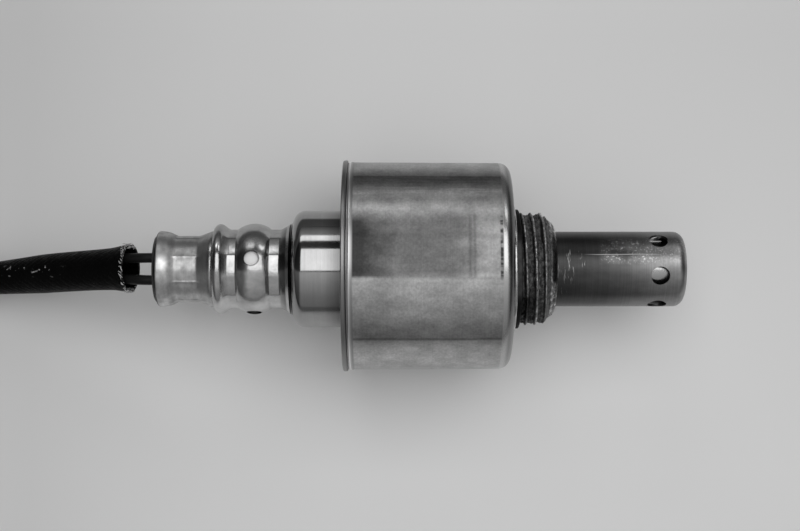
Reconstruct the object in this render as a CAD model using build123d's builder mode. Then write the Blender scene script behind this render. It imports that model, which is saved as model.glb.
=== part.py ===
"""Heated zirconia exhaust oxygen sensor with an M18 x 1.5 thread and a deep heat shield.

The sensor's axis is X, its origin lies on that axis in the plane of the seat, where the
gasket meets the exhaust boss, and +X runs through the thread towards the tip. +Z is up: the
sensor lies on its heat shield, with its lead on the same surface.
"""

from build123d import *
import math
import os

# ---------------------------------------------------------------- driving dimensions, in mm
# Thread, seat and nose of the steel housing.
thread_diameter = 18.0
thread_length = 3.6
relief_depth = 0.8            # undercut below the gasket, in from the thread
nose_length = 2.05            # tapered end ahead of the thread
nose_taper_diameter = 16.2    # where the straight taper turns into the rounded end
nose_taper_length = 0.9
nose_face_diameter = 13.4
stake_lip = 0.7               # rim of the nose, staked over the tubes' flanges

gasket_thickness = 1.5
gasket_diameter = 20.7
gasket_fold_diameter = 19.0   # narrow front fold, which the boss presses on
gasket_fold_thickness = 0.75
gasket_edge_radius = 0.3

# Hexagon and rear boss of the housing.
hex_across_flats = 22.0
hex_height = 8.0
hex_chamfer = 0.8
washer_face_height = 0.6
boss_length = 6.6
boss_chamfer = 0.7

# Chambers inside the housing.
bore_diameter = 9.2           # round the sensing element's nose
chamber_diameter = 12.8       # round its collar and packing
seat_depth = 3.4              # from the gasket plane back to the conical ledge
crimp_lip = 0.9
crimp_lip_diameter = 10.6

# Heat shield: a drawn cup, open to the rear, clamped between hexagon and gasket.
shield_diameter = 32.75       # at its closed end
shield_mouth_diameter = 33.0
shield_length = 26.3
shield_wall = 0.5
shield_corner_radius = 1.8
shield_lip_height = 0.3       # above the mouth's own surface
shield_lip_width = 0.65
shield_groove_width = 0.2
shield_off_axis = 0.5         # the cup sits this far to +Y of the sensor's axis

# Perforated protection tubes over the sensing tip.
outer_tube_diameter = 11.92
outer_tube_wall = 0.4
outer_tube_reach = 26.15      # from the seat to its end
outer_tube_corner = 1.6
outer_hole_diameter = 2.95
outer_hole_reach = 21.8
outer_hole_turn = 10.5        # degrees from the top to the nearest hole
gas_hole_count = 6
inner_tube_diameter = 9.0
inner_tube_wall = 0.35
inner_tube_corner = 1.3
tube_end_gap = 0.6
inner_hole_diameter = 1.5
inner_hole_reach = 9.0
drain_hole_diameter = 1.8
flange_overlap = 0.45         # the flanges reach this far past the outer tube

# Sensing element: a closed zirconia thimble with a collar, and the heater in it.
element_reach = 20.5
element_tip_diameter = 5.8
element_nose_diameter = 6.6
element_collar_diameter = 12.4
element_collar_length = 3.2
element_tail_diameter = 8.0
element_tail_length = 10.8
element_bore_diameter = 3.9
element_tip_wall = 1.4
washer_thickness = 0.35
heater_diameter = 3.0
heater_length = 43.0
heater_tip_gap = 0.4
talc_length = 3.4
bush_length = 2.6

# Casing: one drawn steel tube with a shoulder, welded to the hexagon.
casing_diameter = 18.6
casing_wall = 0.45
casing_body_length = 25.6     # hexagon to the shoulder's face
shoulder_radius = 1.9
shoulder_step = 0.6           # how far the shoulder's face leans back
shoulder_rise = 1.2           # from the end of that face to the full diameter
neck_diameter = 12.14
groove_depth = 0.35
neck_length = 21.0
crimp_start = 14.5            # eight-jaw crimp, measured back from the shoulder
crimp_length = 3.8
crimp_diameter = 10.54
crimp_jaws = 8
crimp_fin = 0.28              # ridge left between two jaws
crimp_fin_height = 0.16
crimp_ramp = 0.55
flare_length = 2.1            # from the crimp forward to the full neck
groove_ramp = 1.0
shoulder_foot = 0.5           # inner corner between the neck and the shoulder's face
shoulder_crown = (0.75, 0.3)  # middle point of the shoulder's round: back, and in
tail_bulge_diameter = 12.28
tail_bulge_back = 0.7         # from the widest place to the edge
tail_edge_diameter = 11.4
vent_hole_diameter = 1.9

# Filter sleeve, crimped round the neck over the vent membrane.
sleeve_wall = 0.42
sleeve_groove_diameter = 12.68
sleeve_bulge_diameter = 14.44
sleeve_curl_diameter = 14.32
sleeve_mouth_diameter = 14.4
sleeve_length = 12.2
sleeve_bell = (0.5, 0.45)     # bell mouth: its length, and its foot over the groove
sleeve_curl_back = 1.75       # rolled rear edge, behind the rear groove
sleeve_curl_rise = (0.8, 0.3) # start of the roll: ahead of its top, and below it
sleeve_curl_fall = (0.75, 0.42)
front_groove = (1.75, 3.1)    # both grooves, measured back from the shoulder
rear_groove = (8.4, 9.5)
sleeve_hole_diameter = 2.3
sleeve_hole_turn = -14.0      # degrees from the top to the nearest hole
vent_place = 5.75             # holes, measured back from the shoulder
mouth_gap = 0.2               # between the sleeve's mouth and the shoulder
vent_hole_count = 4
membrane_thickness = 0.15
membrane_rim = 0.4            # reaches this far past the rear groove's ramp
membrane_air = 0.2            # between the sleeve and the membrane, at the holes

# Ceramic separator, its spring and the contacts in it.
separator_diameter = 15.2
separator_flange_gap = 0.35   # between the flange and the casing
separator_length = 11.0
separator_gap = 2.0           # from the element's rear end
separator_flange_start = 4.5
separator_flange_width = 1.5
separator_cavity_diameter = 7.8
separator_cavity_depth = 4.0
separator_hole_diameter = 2.3
spring_sheet = 0.4
spring_length = 6.0
spring_slot_count = 6
spring_slot_width = 2.0
contact_sheet = 0.35
contact_width = 1.2
barrel_diameter = 1.6
barrel_length = 4.0
barrel_wall_end = 0.6         # closed end of a barrel
barrel_clearance = 1.2        # from the separator back to the barrels
inner_contact_reach = 5.5     # into the element's bore
inner_contact_flange = 0.8    # the flange stays this far inside the element's tail
outer_contact_reach = 3.0     # over the element's tail
arm_clearance = 0.9           # from the separator forward to the contact's arm
heater_pad_length = 1.0
heater_chamfer = 0.4
bush_chamfer = 0.3

# Four leads through a rubber grommet.
wire_diameter = 1.55
conductor_diameter = 0.84
conductor_length = 4.2
wire_spacing = 3.54
grommet_proud = 0.5
grommet_front = 9.9           # measured back from the shoulder
grommet_lip_diameter = 10.9
grommet_lip_round = 0.25
grommet_lead = (1.2, 0.6)     # tapered front end: its length, and how far it narrows

# Braided sleeve over the leads: route of its middle down to the surface.
cord_diameter = 6.0
surface = -shield_mouth_diameter / 2 - shield_lip_height
cord_rest = surface + cord_diameter / 2
cord_route = (
    (-62.0, 0.15, -0.8),
    (-72.0, -0.35, -4.9),
    (-82.0, -1.2, -9.9),
    (-93.0, -2.1, cord_rest),
    (-104.0, -2.1, cord_rest),
)

# The rest of the sleeve is folded once round into a flat oval.
fold_far = 61.0               # first straight run
fold_far_radius = 21.5
fold_back = 52.0              # run back towards the sensor
fold_near_radius = 18.25
fold_near_turn = 198.0        # degrees, so that the end points into the oval
fold_end = 7.0
tie_width = 3.0
tie_thickness = 0.7
tie_place = 7.0               # along the first run

# Four-way connector on the end of the leads.
connector_place = (-146.0, 14.0)
connector_width = 21.0
connector_height = 14.0
connector_length = 25.0
connector_corner = 2.0
connector_wall = 1.6
socket_depth = 14.5
connector_chamfer = 0.6
rib_size = 1.2
rib_share = 0.6               # of the connector's length
latch_width = 6.0
latch_height = 1.6
latch_length = 12.0
latch_back = 4.0              # from the connector's rear end
latch_root = 0.5              # sunk into the housing's top
latch_rib = (1.5, 2.5)        # grip rib: its flat top, and the foot of its slope
seal_depth = 3.0
seal_to_core = 1.0            # covering of a lead, past the seal
retainer_thickness = 2.0
pin_width = 1.5
pin_reach = 8.0
pin_spacing_y = 5.0
pin_spacing_z = 4.0
bundle_spacing = 2.1
lead_run = 8.0

# Clearances.
slip = 0.05                   # metal and ceramic pieces that slide together
rubber_slip = 0.03

# ------------------------------------------------------------------------- derived stations
thread_radius = thread_diameter / 2
relief_radius = thread_radius - relief_depth
nose_end = thread_length + nose_length
shield_face = -gasket_thickness
hex_front = shield_face - shield_wall
hex_rear = hex_front - washer_face_height - hex_height
boss_rear = hex_rear - boss_length

casing_radius = casing_diameter / 2
casing_inner = casing_radius - casing_wall
shoulder = hex_rear - casing_body_length
neck_radius = neck_diameter / 2
groove_radius = neck_radius - groove_depth
casing_end = shoulder - neck_length

tube_seat = nose_end - stake_lip
flange_radius = outer_tube_diameter / 2 + flange_overlap
outer_flange_rear = tube_seat - outer_tube_wall
inner_flange_rear = outer_flange_rear - inner_tube_wall

chamber_radius = chamber_diameter / 2
bore_radius = bore_diameter / 2
ledge_front = -seat_depth
ledge_rear = ledge_front - (chamber_radius - bore_radius)
element_cone_shift = washer_thickness * math.sqrt(2) + 2 * slip
collar_front = ledge_front - element_cone_shift - (element_collar_diameter / 2 - bore_radius)
collar_rear = collar_front - element_collar_length
element_rear = collar_rear - element_tail_length
talc_front = collar_rear - slip
talc_rear = talc_front - talc_length
bush_front = talc_rear - slip
bush_rear = bush_front - bush_length
crimp_lip_front = boss_rear + crimp_lip

heater_front = element_reach - element_tip_wall - heater_tip_gap
heater_rear = heater_front - heater_length
separator_front = element_rear - separator_gap
separator_rear = separator_front - separator_length
spring_front = separator_front - separator_flange_start - separator_flange_width - slip
wire_offset = wire_spacing / 2
wire_corners = [(y * wire_offset, z * wire_offset) for y in (1, -1) for z in (1, -1)]
contact_rear = separator_rear + barrel_clearance + barrel_length
wire_front = separator_rear - 0.3


def behind(distance):
    """The place on the axis this far behind the casing's shoulder."""
    return shoulder - distance


def tube(near, far, outer, inner):
    """Section of a plain ring between two places on the axis."""
    Polygon((near, inner), (far, inner), (far, outer), (near, outer), align=None)


def round_the_axis(place, turns):
    """Locations on the axis whose own +Z is turned about it, in degrees from the top."""
    return Locations(*[Location((place, 0, 0), (turn, 0, 0)) for turn in turns])


def spread(first, count):
    """Equal turns round the axis, starting from one of them."""
    return [first + 360 / count * n for n in range(count)]


def from_shield_axis(place, radius):
    """A point of the cup's section, measured from the cup's own axis."""
    return (place, shield_off_axis + radius)


os.makedirs("parts", exist_ok=True)


def keep(part, name):
    """Labels a finished piece and writes it to its own file."""
    part.label = name
    export_step(part, f"parts/{name}.step")


# ----------------------------------------------------------------------------- the housing
# Turned from hexagonal bar: thread and nose ahead of the hexagon, boss behind it.
with BuildPart() as housing:
    with BuildSketch(Plane.XY):
        with BuildLine():
            Polyline(
                (nose_end, outer_tube_diameter / 2 + slip),
                (nose_end, nose_face_diameter / 2),
            )
            taper_end = (thread_length + nose_taper_length, nose_taper_diameter / 2)
            TangentArc(
                taper_end,
                (nose_end, nose_face_diameter / 2),
                tangent=(nose_taper_length, nose_taper_diameter / 2 - thread_radius),
            )
            Polyline(
                taper_end,
                (thread_length, thread_radius),
                (0, thread_radius),
                (0, relief_radius),
                (hex_front, relief_radius),
                (hex_front, hex_across_flats / 2),
                (hex_rear, hex_across_flats / 2),
                (hex_rear, casing_inner - slip),
                (boss_rear + boss_chamfer, casing_inner - slip),
                (boss_rear, casing_inner - slip - boss_chamfer),
                (boss_rear, crimp_lip_diameter / 2),
                (crimp_lip_front, crimp_lip_diameter / 2),
                (crimp_lip_front, chamber_radius),
                (ledge_rear, chamber_radius),
                (ledge_front, bore_radius),
                (inner_flange_rear, bore_radius),
                (inner_flange_rear, flange_radius + slip),
                (tube_seat, flange_radius + slip),
                (tube_seat, outer_tube_diameter / 2 + slip),
                (nose_end, outer_tube_diameter / 2 + slip),
            )
        make_face()
    revolve(axis=Axis.X)
    with BuildSketch(Plane.YZ.offset(hex_rear)):
        RegularPolygon(hex_across_flats / 2, 6, major_radius=False)
        Circle(casing_inner, mode=Mode.SUBTRACT)
    extrude(amount=hex_height)
    # Both ends of the hexagon are chamfered at 30 degrees by the turning tool.
    hex_corner = hex_across_flats / 2 / math.cos(math.pi / 6)
    with BuildSketch(Plane.XY):
        Polygon(
            (hex_rear, hex_across_flats / 2 - 0.1),
            (hex_rear, hex_corner + 1),
            (hex_rear + hex_chamfer, hex_corner + 1),
            (hex_rear + hex_chamfer, hex_corner),
            align=None,
        )
        front = hex_rear + hex_height
        Polygon(
            (front, hex_across_flats / 2 - 0.1),
            (front - hex_chamfer, hex_corner),
            (front - hex_chamfer, hex_corner + 1),
            (front, hex_corner + 1),
            align=None,
        )
    revolve(axis=Axis.X, mode=Mode.SUBTRACT)
keep(housing.part, "housing")

# ------------------------------------------------------------------- gasket and heat shield
with BuildPart() as gasket:
    with BuildSketch(Plane.XY):
        tube(shield_face, 0, gasket_fold_diameter / 2, thread_radius + slip)
        tube(
            shield_face,
            shield_face + gasket_fold_thickness,
            gasket_diameter / 2,
            thread_radius + slip,
        )
    revolve(axis=Axis.X)
    outer_edges = gasket.edges().filter_by(GeomType.CIRCLE).group_by(SortBy.RADIUS)[-1]
    fillet(outer_edges, gasket_edge_radius)
keep(gasket.part, "gasket")

with BuildPart() as heat_shield:
    # The cup's own axis, a little to one side of the sensor's.
    shield_axis = Axis((0, shield_off_axis, 0), (1, 0, 0))
    shield_mouth = shield_face - shield_length
    lip_front = shield_mouth + shield_lip_width
    groove_front = lip_front + shield_groove_width
    shield_lip_radius = shield_mouth_diameter / 2 + shield_lip_height
    corner = shield_corner_radius
    inner_corner = corner - shield_wall

    with BuildSketch(Plane.XY):
        with BuildLine():
            outer_corner = RadiusArc(
                from_shield_axis(shield_face, shield_diameter / 2 - corner),
                from_shield_axis(shield_face - corner, shield_diameter / 2),
                -corner,
            )
            Polyline(
                outer_corner @ 1,
                from_shield_axis(groove_front, shield_mouth_diameter / 2),
                from_shield_axis(lip_front, shield_mouth_diameter / 2),
                from_shield_axis(lip_front, shield_lip_radius),
                from_shield_axis(shield_mouth, shield_lip_radius),
                from_shield_axis(shield_mouth, shield_mouth_diameter / 2 - shield_wall),
                from_shield_axis(shield_face - corner, shield_diameter / 2 - shield_wall),
            )
            bend = RadiusArc(
                from_shield_axis(shield_face - corner, shield_diameter / 2 - shield_wall),
                from_shield_axis(hex_front, shield_diameter / 2 - corner),
                inner_corner,
            )
            Polyline(
                bend @ 1,
                from_shield_axis(hex_front, 0),
                from_shield_axis(shield_face, 0),
                outer_corner @ 0,
            )
        make_face()
    revolve(axis=shield_axis)
    with BuildSketch(Plane.YZ.offset(hex_front)):
        Circle(thread_radius + 3 * slip)
    extrude(amount=shield_wall, mode=Mode.SUBTRACT)
keep(heat_shield.part, "heat_shield")

# ----------------------------------------------------------------------- protection tubes
outer_radius = outer_tube_diameter / 2
with BuildPart() as outer_protection_tube:
    with BuildSketch(Plane.XY):
        tube(outer_flange_rear, tube_seat, flange_radius, outer_radius - outer_tube_wall)
        tube(outer_flange_rear, outer_tube_reach, outer_radius, 0)
    revolve(axis=Axis.X)
    end_edge = outer_protection_tube.edges().filter_by(GeomType.CIRCLE).sort_by(Axis.X)[-1]
    fillet(end_edge, outer_tube_corner)
    with BuildSketch(Plane.XY):
        with BuildLine():
            hollow_end = outer_tube_reach - outer_tube_wall
            hollow_corner = outer_tube_corner - outer_tube_wall
            hollow_radius = outer_radius - outer_tube_wall
            start = Polyline(
                (hollow_end, 0),
                (outer_flange_rear, 0),
                (outer_flange_rear, hollow_radius),
                (hollow_end - hollow_corner, hollow_radius),
            )
            turn = RadiusArc(start @ 1, (hollow_end, hollow_radius - hollow_corner), hollow_corner)
            Line(turn @ 1, start @ 0)
        make_face()
    revolve(axis=Axis.X, mode=Mode.SUBTRACT)
    with round_the_axis(outer_hole_reach, spread(outer_hole_turn, gas_hole_count)):
        Cylinder(
            outer_hole_diameter / 2,
            outer_tube_diameter,
            align=(Align.CENTER, Align.CENTER, Align.MIN),
            mode=Mode.SUBTRACT,
        )
    with BuildSketch(Plane.YZ.offset(hollow_end)):
        Circle(drain_hole_diameter / 2)
    extrude(amount=outer_tube_wall, mode=Mode.SUBTRACT)
keep(outer_protection_tube.part, "outer_protection_tube")

inner_radius = inner_tube_diameter / 2
inner_tube_end = outer_tube_reach - outer_tube_wall - tube_end_gap
with BuildPart() as inner_protection_tube:
    with BuildSketch(Plane.XY):
        tube(inner_flange_rear, outer_flange_rear, flange_radius, inner_radius - inner_tube_wall)
        tube(inner_flange_rear, inner_tube_end, inner_radius, 0)
    revolve(axis=Axis.X)
    end_edge = inner_protection_tube.edges().filter_by(GeomType.CIRCLE).sort_by(Axis.X)[-1]
    fillet(end_edge, inner_tube_corner)
    with BuildSketch(Plane.XY):
        with BuildLine():
            hollow_end = inner_tube_end - inner_tube_wall
            hollow_corner = inner_tube_corner - inner_tube_wall
            hollow_radius = inner_radius - inner_tube_wall
            start = Polyline(
                (hollow_end, 0),
                (inner_flange_rear, 0),
                (inner_flange_rear, hollow_radius),
                (hollow_end - hollow_corner, hollow_radius),
            )
            turn = RadiusArc(start @ 1, (hollow_end, hollow_radius - hollow_corner), hollow_corner)
            Line(turn @ 1, start @ 0)
        make_face()
    revolve(axis=Axis.X, mode=Mode.SUBTRACT)
    half_step = 180 / gas_hole_count
    with round_the_axis(inner_hole_reach, spread(outer_hole_turn + half_step, gas_hole_count)):
        Cylinder(
            inner_hole_diameter / 2,
            inner_tube_diameter,
            align=(Align.CENTER, Align.CENTER, Align.MIN),
            mode=Mode.SUBTRACT,
        )
    with BuildSketch(Plane.YZ.offset(hollow_end)):
        Circle(drain_hole_diameter / 2)
    extrude(amount=inner_tube_wall, mode=Mode.SUBTRACT)
keep(inner_protection_tube.part, "inner_protection_tube")

# ------------------------------------------------------------- sensing element and packing
collar_radius = element_collar_diameter / 2
nose_radius = element_nose_diameter / 2
tip_radius = element_tip_diameter / 2
element_bore = element_bore_diameter / 2
with BuildPart() as sensing_element:
    with BuildSketch(Plane.XY):
        with BuildLine():
            tip = RadiusArc((element_reach, 0), (element_reach - tip_radius, tip_radius), -tip_radius)
            outline = Polyline(
                tip @ 1,
                (nose_end, nose_radius),
                (collar_front + collar_radius - nose_radius, nose_radius),
                (collar_front, collar_radius),
                (collar_rear, collar_radius),
                (collar_rear, element_tail_diameter / 2),
                (element_rear, element_tail_diameter / 2),
                (element_rear, element_bore),
                (element_reach - element_tip_wall - element_bore, element_bore),
            )
            well = RadiusArc(outline @ 1, (element_reach - element_tip_wall, 0), element_bore)
            Line(well @ 1, tip @ 0)
        make_face()
    revolve(axis=Axis.X)
keep(sensing_element.part, "sensing_element")

with BuildPart() as element_washer:
    washer_shift = washer_thickness * math.sqrt(2)
    washer_drop = chamber_radius - bore_radius - 4 * slip
    washer_front = ledge_front - slip - 2 * slip
    washer_inner = bore_radius + 2 * slip
    with BuildSketch(Plane.XY):
        Polygon(
            (washer_front, washer_inner),
            (washer_front - washer_drop, washer_inner + washer_drop),
            (washer_front - washer_drop - washer_shift, washer_inner + washer_drop),
            (washer_front - washer_shift, washer_inner),
            align=None,
        )
    revolve(axis=Axis.X)
keep(element_washer.part, "element_washer")

with BuildPart() as talc_packing:
    with BuildSketch(Plane.XY):
        tube(talc_rear, talc_front, chamber_radius - slip, element_tail_diameter / 2 + slip)
    revolve(axis=Axis.X)
keep(talc_packing.part, "talc_packing")

with BuildPart() as insulator_bush:
    with BuildSketch(Plane.XY):
        tube(bush_rear, bush_front, chamber_radius - slip, element_tail_diameter / 2 + slip)
    revolve(axis=Axis.X)
    widest_edge = insulator_bush.edges().filter_by(GeomType.CIRCLE).sort_by(SortBy.RADIUS)[-1]
    chamfer(widest_edge, bush_chamfer)
keep(insulator_bush.part, "insulator_bush")

with BuildPart() as packing_ring:
    with BuildSketch(Plane.XY):
        ring_front = bush_rear - slip
        tube(crimp_lip_front + slip, ring_front, chamber_radius - 2 * slip, crimp_lip_diameter / 2)
    revolve(axis=Axis.X)
keep(packing_ring.part, "packing_ring")

with BuildPart() as heater_rod:
    with BuildSketch(Plane.YZ.offset(heater_rear)):
        Circle(heater_diameter / 2)
    extrude(amount=heater_length)
    chamfer(heater_rod.edges().filter_by(GeomType.CIRCLE).sort_by(Axis.X)[-1], heater_chamfer)
keep(heater_rod.part, "heater_rod")

# ------------------------------------------------------------------ separator and contacts
with BuildPart() as ceramic_separator:
    with BuildSketch(Plane.YZ.offset(separator_rear)):
        Circle(separator_diameter / 2)
    extrude(amount=separator_length)
    flange_front = separator_front - separator_flange_start
    with BuildSketch(Plane.YZ.offset(flange_front)):
        Circle(casing_inner - separator_flange_gap)
    extrude(amount=-separator_flange_width)
    with BuildSketch(Plane.YZ.offset(separator_front)):
        Circle(separator_cavity_diameter / 2)
    extrude(amount=-separator_cavity_depth, mode=Mode.SUBTRACT)
    with BuildSketch(Plane.YZ.offset(separator_front)):
        with Locations(*wire_corners):
            Circle(separator_hole_diameter / 2)
    extrude(amount=-separator_length, mode=Mode.SUBTRACT)
keep(ceramic_separator.part, "ceramic_separator")

with BuildPart() as separator_spring:
    spring_outer = casing_inner - 2 * slip
    with BuildSketch(Plane.XY):
        Polygon(
            (spring_front, separator_diameter / 2 + slip),
            (spring_front, spring_outer),
            (spring_front - spring_length, spring_outer),
            (spring_front - spring_length, spring_outer - spring_sheet),
            (spring_front - spring_sheet, spring_outer - spring_sheet),
            (spring_front - spring_sheet, separator_diameter / 2 + slip),
            align=None,
        )
    revolve(axis=Axis.X)
    slot_front = spring_front - spring_length / 3
    with round_the_axis(slot_front - spring_length / 2, spread(0, spring_slot_count)):
        Box(
            spring_length,
            spring_slot_width,
            casing_diameter,
            align=(Align.CENTER, Align.CENTER, Align.MIN),
            mode=Mode.SUBTRACT,
        )
keep(separator_spring.part, "separator_spring")


def add_terminal(corner, strip_front):
    """Strip through the separator's hole, with a crimp barrel on its rear end."""
    y, z = corner
    strip_length = strip_front - contact_rear
    with Locations((contact_rear + strip_length / 2, y, z)):
        Box(strip_length, contact_width, contact_sheet)
    with Locations(Location((contact_rear - barrel_length / 2, y, z), (0, 90, 0))):
        Cylinder(barrel_diameter / 2, barrel_length)


def open_barrel(corner):
    """The barrel's bore, which holds the bare end of a lead."""
    y, z = corner
    bore_length = barrel_length - barrel_wall_end
    with Locations(Location((contact_rear - barrel_length + bore_length / 2, y, z), (0, 90, 0))):
        Cylinder(conductor_diameter / 2 + slip / 2, bore_length, mode=Mode.SUBTRACT)


# The inner contact is a split tube in the element's bore, gripping the heater.
with BuildPart() as inner_contact:
    contact_inner = heater_diameter / 2 + slip
    contact_outer = element_bore - slip
    flange_rear = element_rear - slip - contact_sheet
    with BuildSketch(Plane.XY):
        tube(element_rear + inner_contact_reach, flange_rear, contact_outer, contact_inner)
        tube(
            element_rear - slip,
            flange_rear,
            element_tail_diameter / 2 - inner_contact_flange,
            contact_inner,
        )
    revolve(axis=Axis.X)
    add_terminal(wire_corners[0], flange_rear + contact_sheet)
    open_barrel(wire_corners[0])
keep(inner_contact.part, "inner_contact")

# The outer contact is a ring round the element's tail, with an arm bent inwards behind it.
with BuildPart() as outer_contact:
    ring_inner = element_tail_diameter / 2 + slip
    ring_outer = ring_inner + contact_sheet
    arm_place = separator_front + arm_clearance
    with BuildSketch(Plane.XY):
        tube(arm_place, element_rear + outer_contact_reach, ring_outer, ring_inner)
    revolve(axis=Axis.X)
    y, z = wire_corners[1]
    arm_reach = math.sqrt(ring_inner**2 - y**2)
    with Locations((arm_place, y, z - contact_sheet / 2)):
        Box(
            contact_sheet,
            contact_width,
            arm_reach + z,
            align=(Align.MIN, Align.CENTER, Align.MAX),
        )
    add_terminal(wire_corners[1], arm_place + contact_sheet)
    open_barrel(wire_corners[1])
keep(outer_contact.part, "outer_contact")

for number, corner in enumerate(wire_corners[2:], 1):
    # A heater contact presses its pad on the side of the heater, in the separator's cavity.
    with BuildPart() as heater_contact:
        add_terminal(corner, separator_front)
        open_barrel(corner)
        y, z = corner
        pad_inner = (heater_diameter / 2 + slip) / math.sqrt(2)
        pad_side = math.copysign(1, z)
        with Locations((heater_rear + heater_pad_length, -pad_inner, pad_side * pad_inner)):
            Box(
                heater_pad_length,
                abs(y) - pad_inner,
                abs(z) - pad_inner,
                align=(Align.CENTER, Align.MAX, Align.MIN if z > 0 else Align.MAX),
            )
    keep(heater_contact.part, f"heater_contact_{number}")


# ------------------------------------------------------------------ casing and its filter
def casing_side(inset):
    """One face of the casing's sheet, from the tail's edge to the hexagon, as a line."""
    radius = neck_radius - inset
    dip = radius - groove_depth
    crimp = crimp_radius + (-casing_wall if inset else crimp_fin_height)
    flare = crimp_start - flare_length
    Polyline(
        (behind(crimp_start + crimp_length + crimp_ramp), crimp),
        (behind(crimp_start - crimp_ramp), crimp),
        (behind(flare), radius),
        (behind(rear_groove[1] + groove_ramp), radius),
        (behind(rear_groove[1]), dip),
        (behind(rear_groove[0]), dip),
        (behind(rear_groove[0] - groove_ramp), radius),
        (behind(front_groove[1] + groove_ramp), radius),
        (behind(front_groove[1]), dip),
        (behind(front_groove[0]), dip),
        (behind(front_groove[0] - groove_ramp), radius),
        (behind(-inset), radius),
        (behind(-inset), radius + shoulder_foot),
        (behind(-inset - shoulder_step), casing_radius - inset / 2 - shoulder_rise),
    )


# One jaw of the crimping tool: a sector that closes on the tail from the top.
crimp_radius = crimp_diameter / 2
jaw_angle = 360 / crimp_jaws - math.degrees(crimp_fin / crimp_radius)
with BuildPart() as crimp_jaw:
    with BuildSketch(Plane.XZ.rotated((-jaw_angle / 2, 0, 0))):
        Polygon(
            (behind(crimp_start + crimp_length + 2 * crimp_ramp), casing_radius),
            (behind(crimp_start + crimp_length + crimp_ramp), crimp_radius + crimp_ramp),
            (behind(crimp_start + crimp_length), crimp_radius),
            (behind(crimp_start), crimp_radius),
            (behind(crimp_start - crimp_ramp), crimp_radius + crimp_ramp),
            (behind(crimp_start - 2 * crimp_ramp), casing_radius),
            align=None,
        )
    revolve(axis=Axis.X, revolution_arc=jaw_angle)

with BuildPart() as main_casing:
    bulge_place = behind(neck_length - tail_bulge_back)
    crown_back, crown_in = shoulder_crown
    with BuildSketch(Plane.XY):
        with BuildLine():
            casing_side(0)
            outer_start = (
                behind(crimp_start + crimp_length + crimp_ramp),
                crimp_radius + crimp_fin_height,
            )
            ThreePointArc(
                (casing_end, tail_edge_diameter / 2),
                (bulge_place, tail_bulge_diameter / 2),
                outer_start,
            )
            outer_bend = ThreePointArc(
                (behind(-shoulder_step), casing_radius - shoulder_rise),
                (behind(-shoulder_step - crown_back), casing_radius - crown_in),
                (behind(-shoulder_step - shoulder_radius), casing_radius),
            )
            Polyline(
                outer_bend @ 1,
                (hex_rear, casing_radius),
                (hex_rear, casing_inner),
                (behind(-shoulder_step - shoulder_radius), casing_inner),
            )
            ThreePointArc(
                (behind(-shoulder_step - shoulder_radius), casing_inner),
                (behind(-casing_wall / 2 - shoulder_step - crown_back), casing_inner - crown_in / 2),
                (
                    behind(-casing_wall - shoulder_step),
                    casing_inner + casing_wall / 2 - shoulder_rise,
                ),
            )
            casing_side(casing_wall)
            inner_start = (
                behind(crimp_start + crimp_length + crimp_ramp),
                crimp_radius - casing_wall,
            )
            ThreePointArc(
                inner_start,
                (bulge_place, tail_bulge_diameter / 2 - casing_wall),
                (casing_end, tail_edge_diameter / 2 - casing_wall),
            )
            Line(
                (casing_end, tail_edge_diameter / 2 - casing_wall),
                (casing_end, tail_edge_diameter / 2),
            )
        make_face()
    revolve(axis=Axis.X)
    with round_the_axis(0, spread(0, crimp_jaws)):
        add(crimp_jaw.part, mode=Mode.SUBTRACT)
    with round_the_axis(behind(vent_place), spread(sleeve_hole_turn, vent_hole_count)):
        Cylinder(
            vent_hole_diameter / 2,
            casing_radius,
            align=(Align.CENTER, Align.CENTER, Align.MIN),
            mode=Mode.SUBTRACT,
        )
keep(main_casing.part, "main_casing")

with BuildPart() as vent_membrane:
    near = neck_radius + rubber_slip
    dip = groove_radius + rubber_slip
    crown = sleeve_bulge_diameter / 2 - sleeve_wall - membrane_air
    with BuildSketch(Plane.XY):
        with BuildLine():
            for layer in (0, membrane_thickness):
                Line((behind(front_groove[0]), dip + layer), (behind(front_groove[1]), dip + layer))
                ThreePointArc(
                    (behind(front_groove[1]), dip + layer),
                    (behind(vent_place), crown - membrane_thickness + layer),
                    (behind(rear_groove[0]), dip + layer),
                )
                Polyline(
                    (behind(rear_groove[0]), dip + layer),
                    (behind(rear_groove[1]), dip + layer),
                    (behind(rear_groove[1] + groove_ramp), near + layer),
                    (behind(rear_groove[1] + groove_ramp + membrane_rim), near + layer),
                )
            for place, radius in (
                (behind(front_groove[0]), dip),
                (behind(rear_groove[1] + groove_ramp + membrane_rim), near),
            ):
                Line((place, radius), (place, radius + membrane_thickness))
        make_face()
    revolve(axis=Axis.X)
keep(vent_membrane.part, "vent_membrane")


def sleeve_side(inset):
    """One face of the filter sleeve's sheet, from its mouth to its rolled rear edge."""
    groove = sleeve_groove_diameter / 2 - inset
    curl_place = rear_groove[1] + sleeve_curl_back
    curl = sleeve_curl_diameter / 2
    curl_start = (behind(curl_place - sleeve_curl_rise[0]), curl - sleeve_curl_rise[1] - inset)
    curl_end = (
        behind(curl_place + sleeve_curl_fall[0] - inset / 2),
        curl - sleeve_curl_fall[1] - inset / 2,
    )
    Polyline(
        (behind(mouth_gap), sleeve_mouth_diameter / 2 - inset),
        (behind(mouth_gap + sleeve_bell[0]), groove + sleeve_bell[1]),
        (behind(front_groove[0]), groove),
        (behind(front_groove[1]), groove),
    )
    ThreePointArc(
        (behind(front_groove[1]), groove),
        (behind(vent_place), sleeve_bulge_diameter / 2 - inset),
        (behind(rear_groove[0]), groove),
    )
    Polyline(
        (behind(rear_groove[0]), groove),
        (behind(rear_groove[1]), groove),
        curl_start,
    )
    ThreePointArc(curl_start, (behind(curl_place), curl - inset), curl_end)
    Line(curl_end, (behind(sleeve_length - inset), neck_radius + slip))


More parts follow.
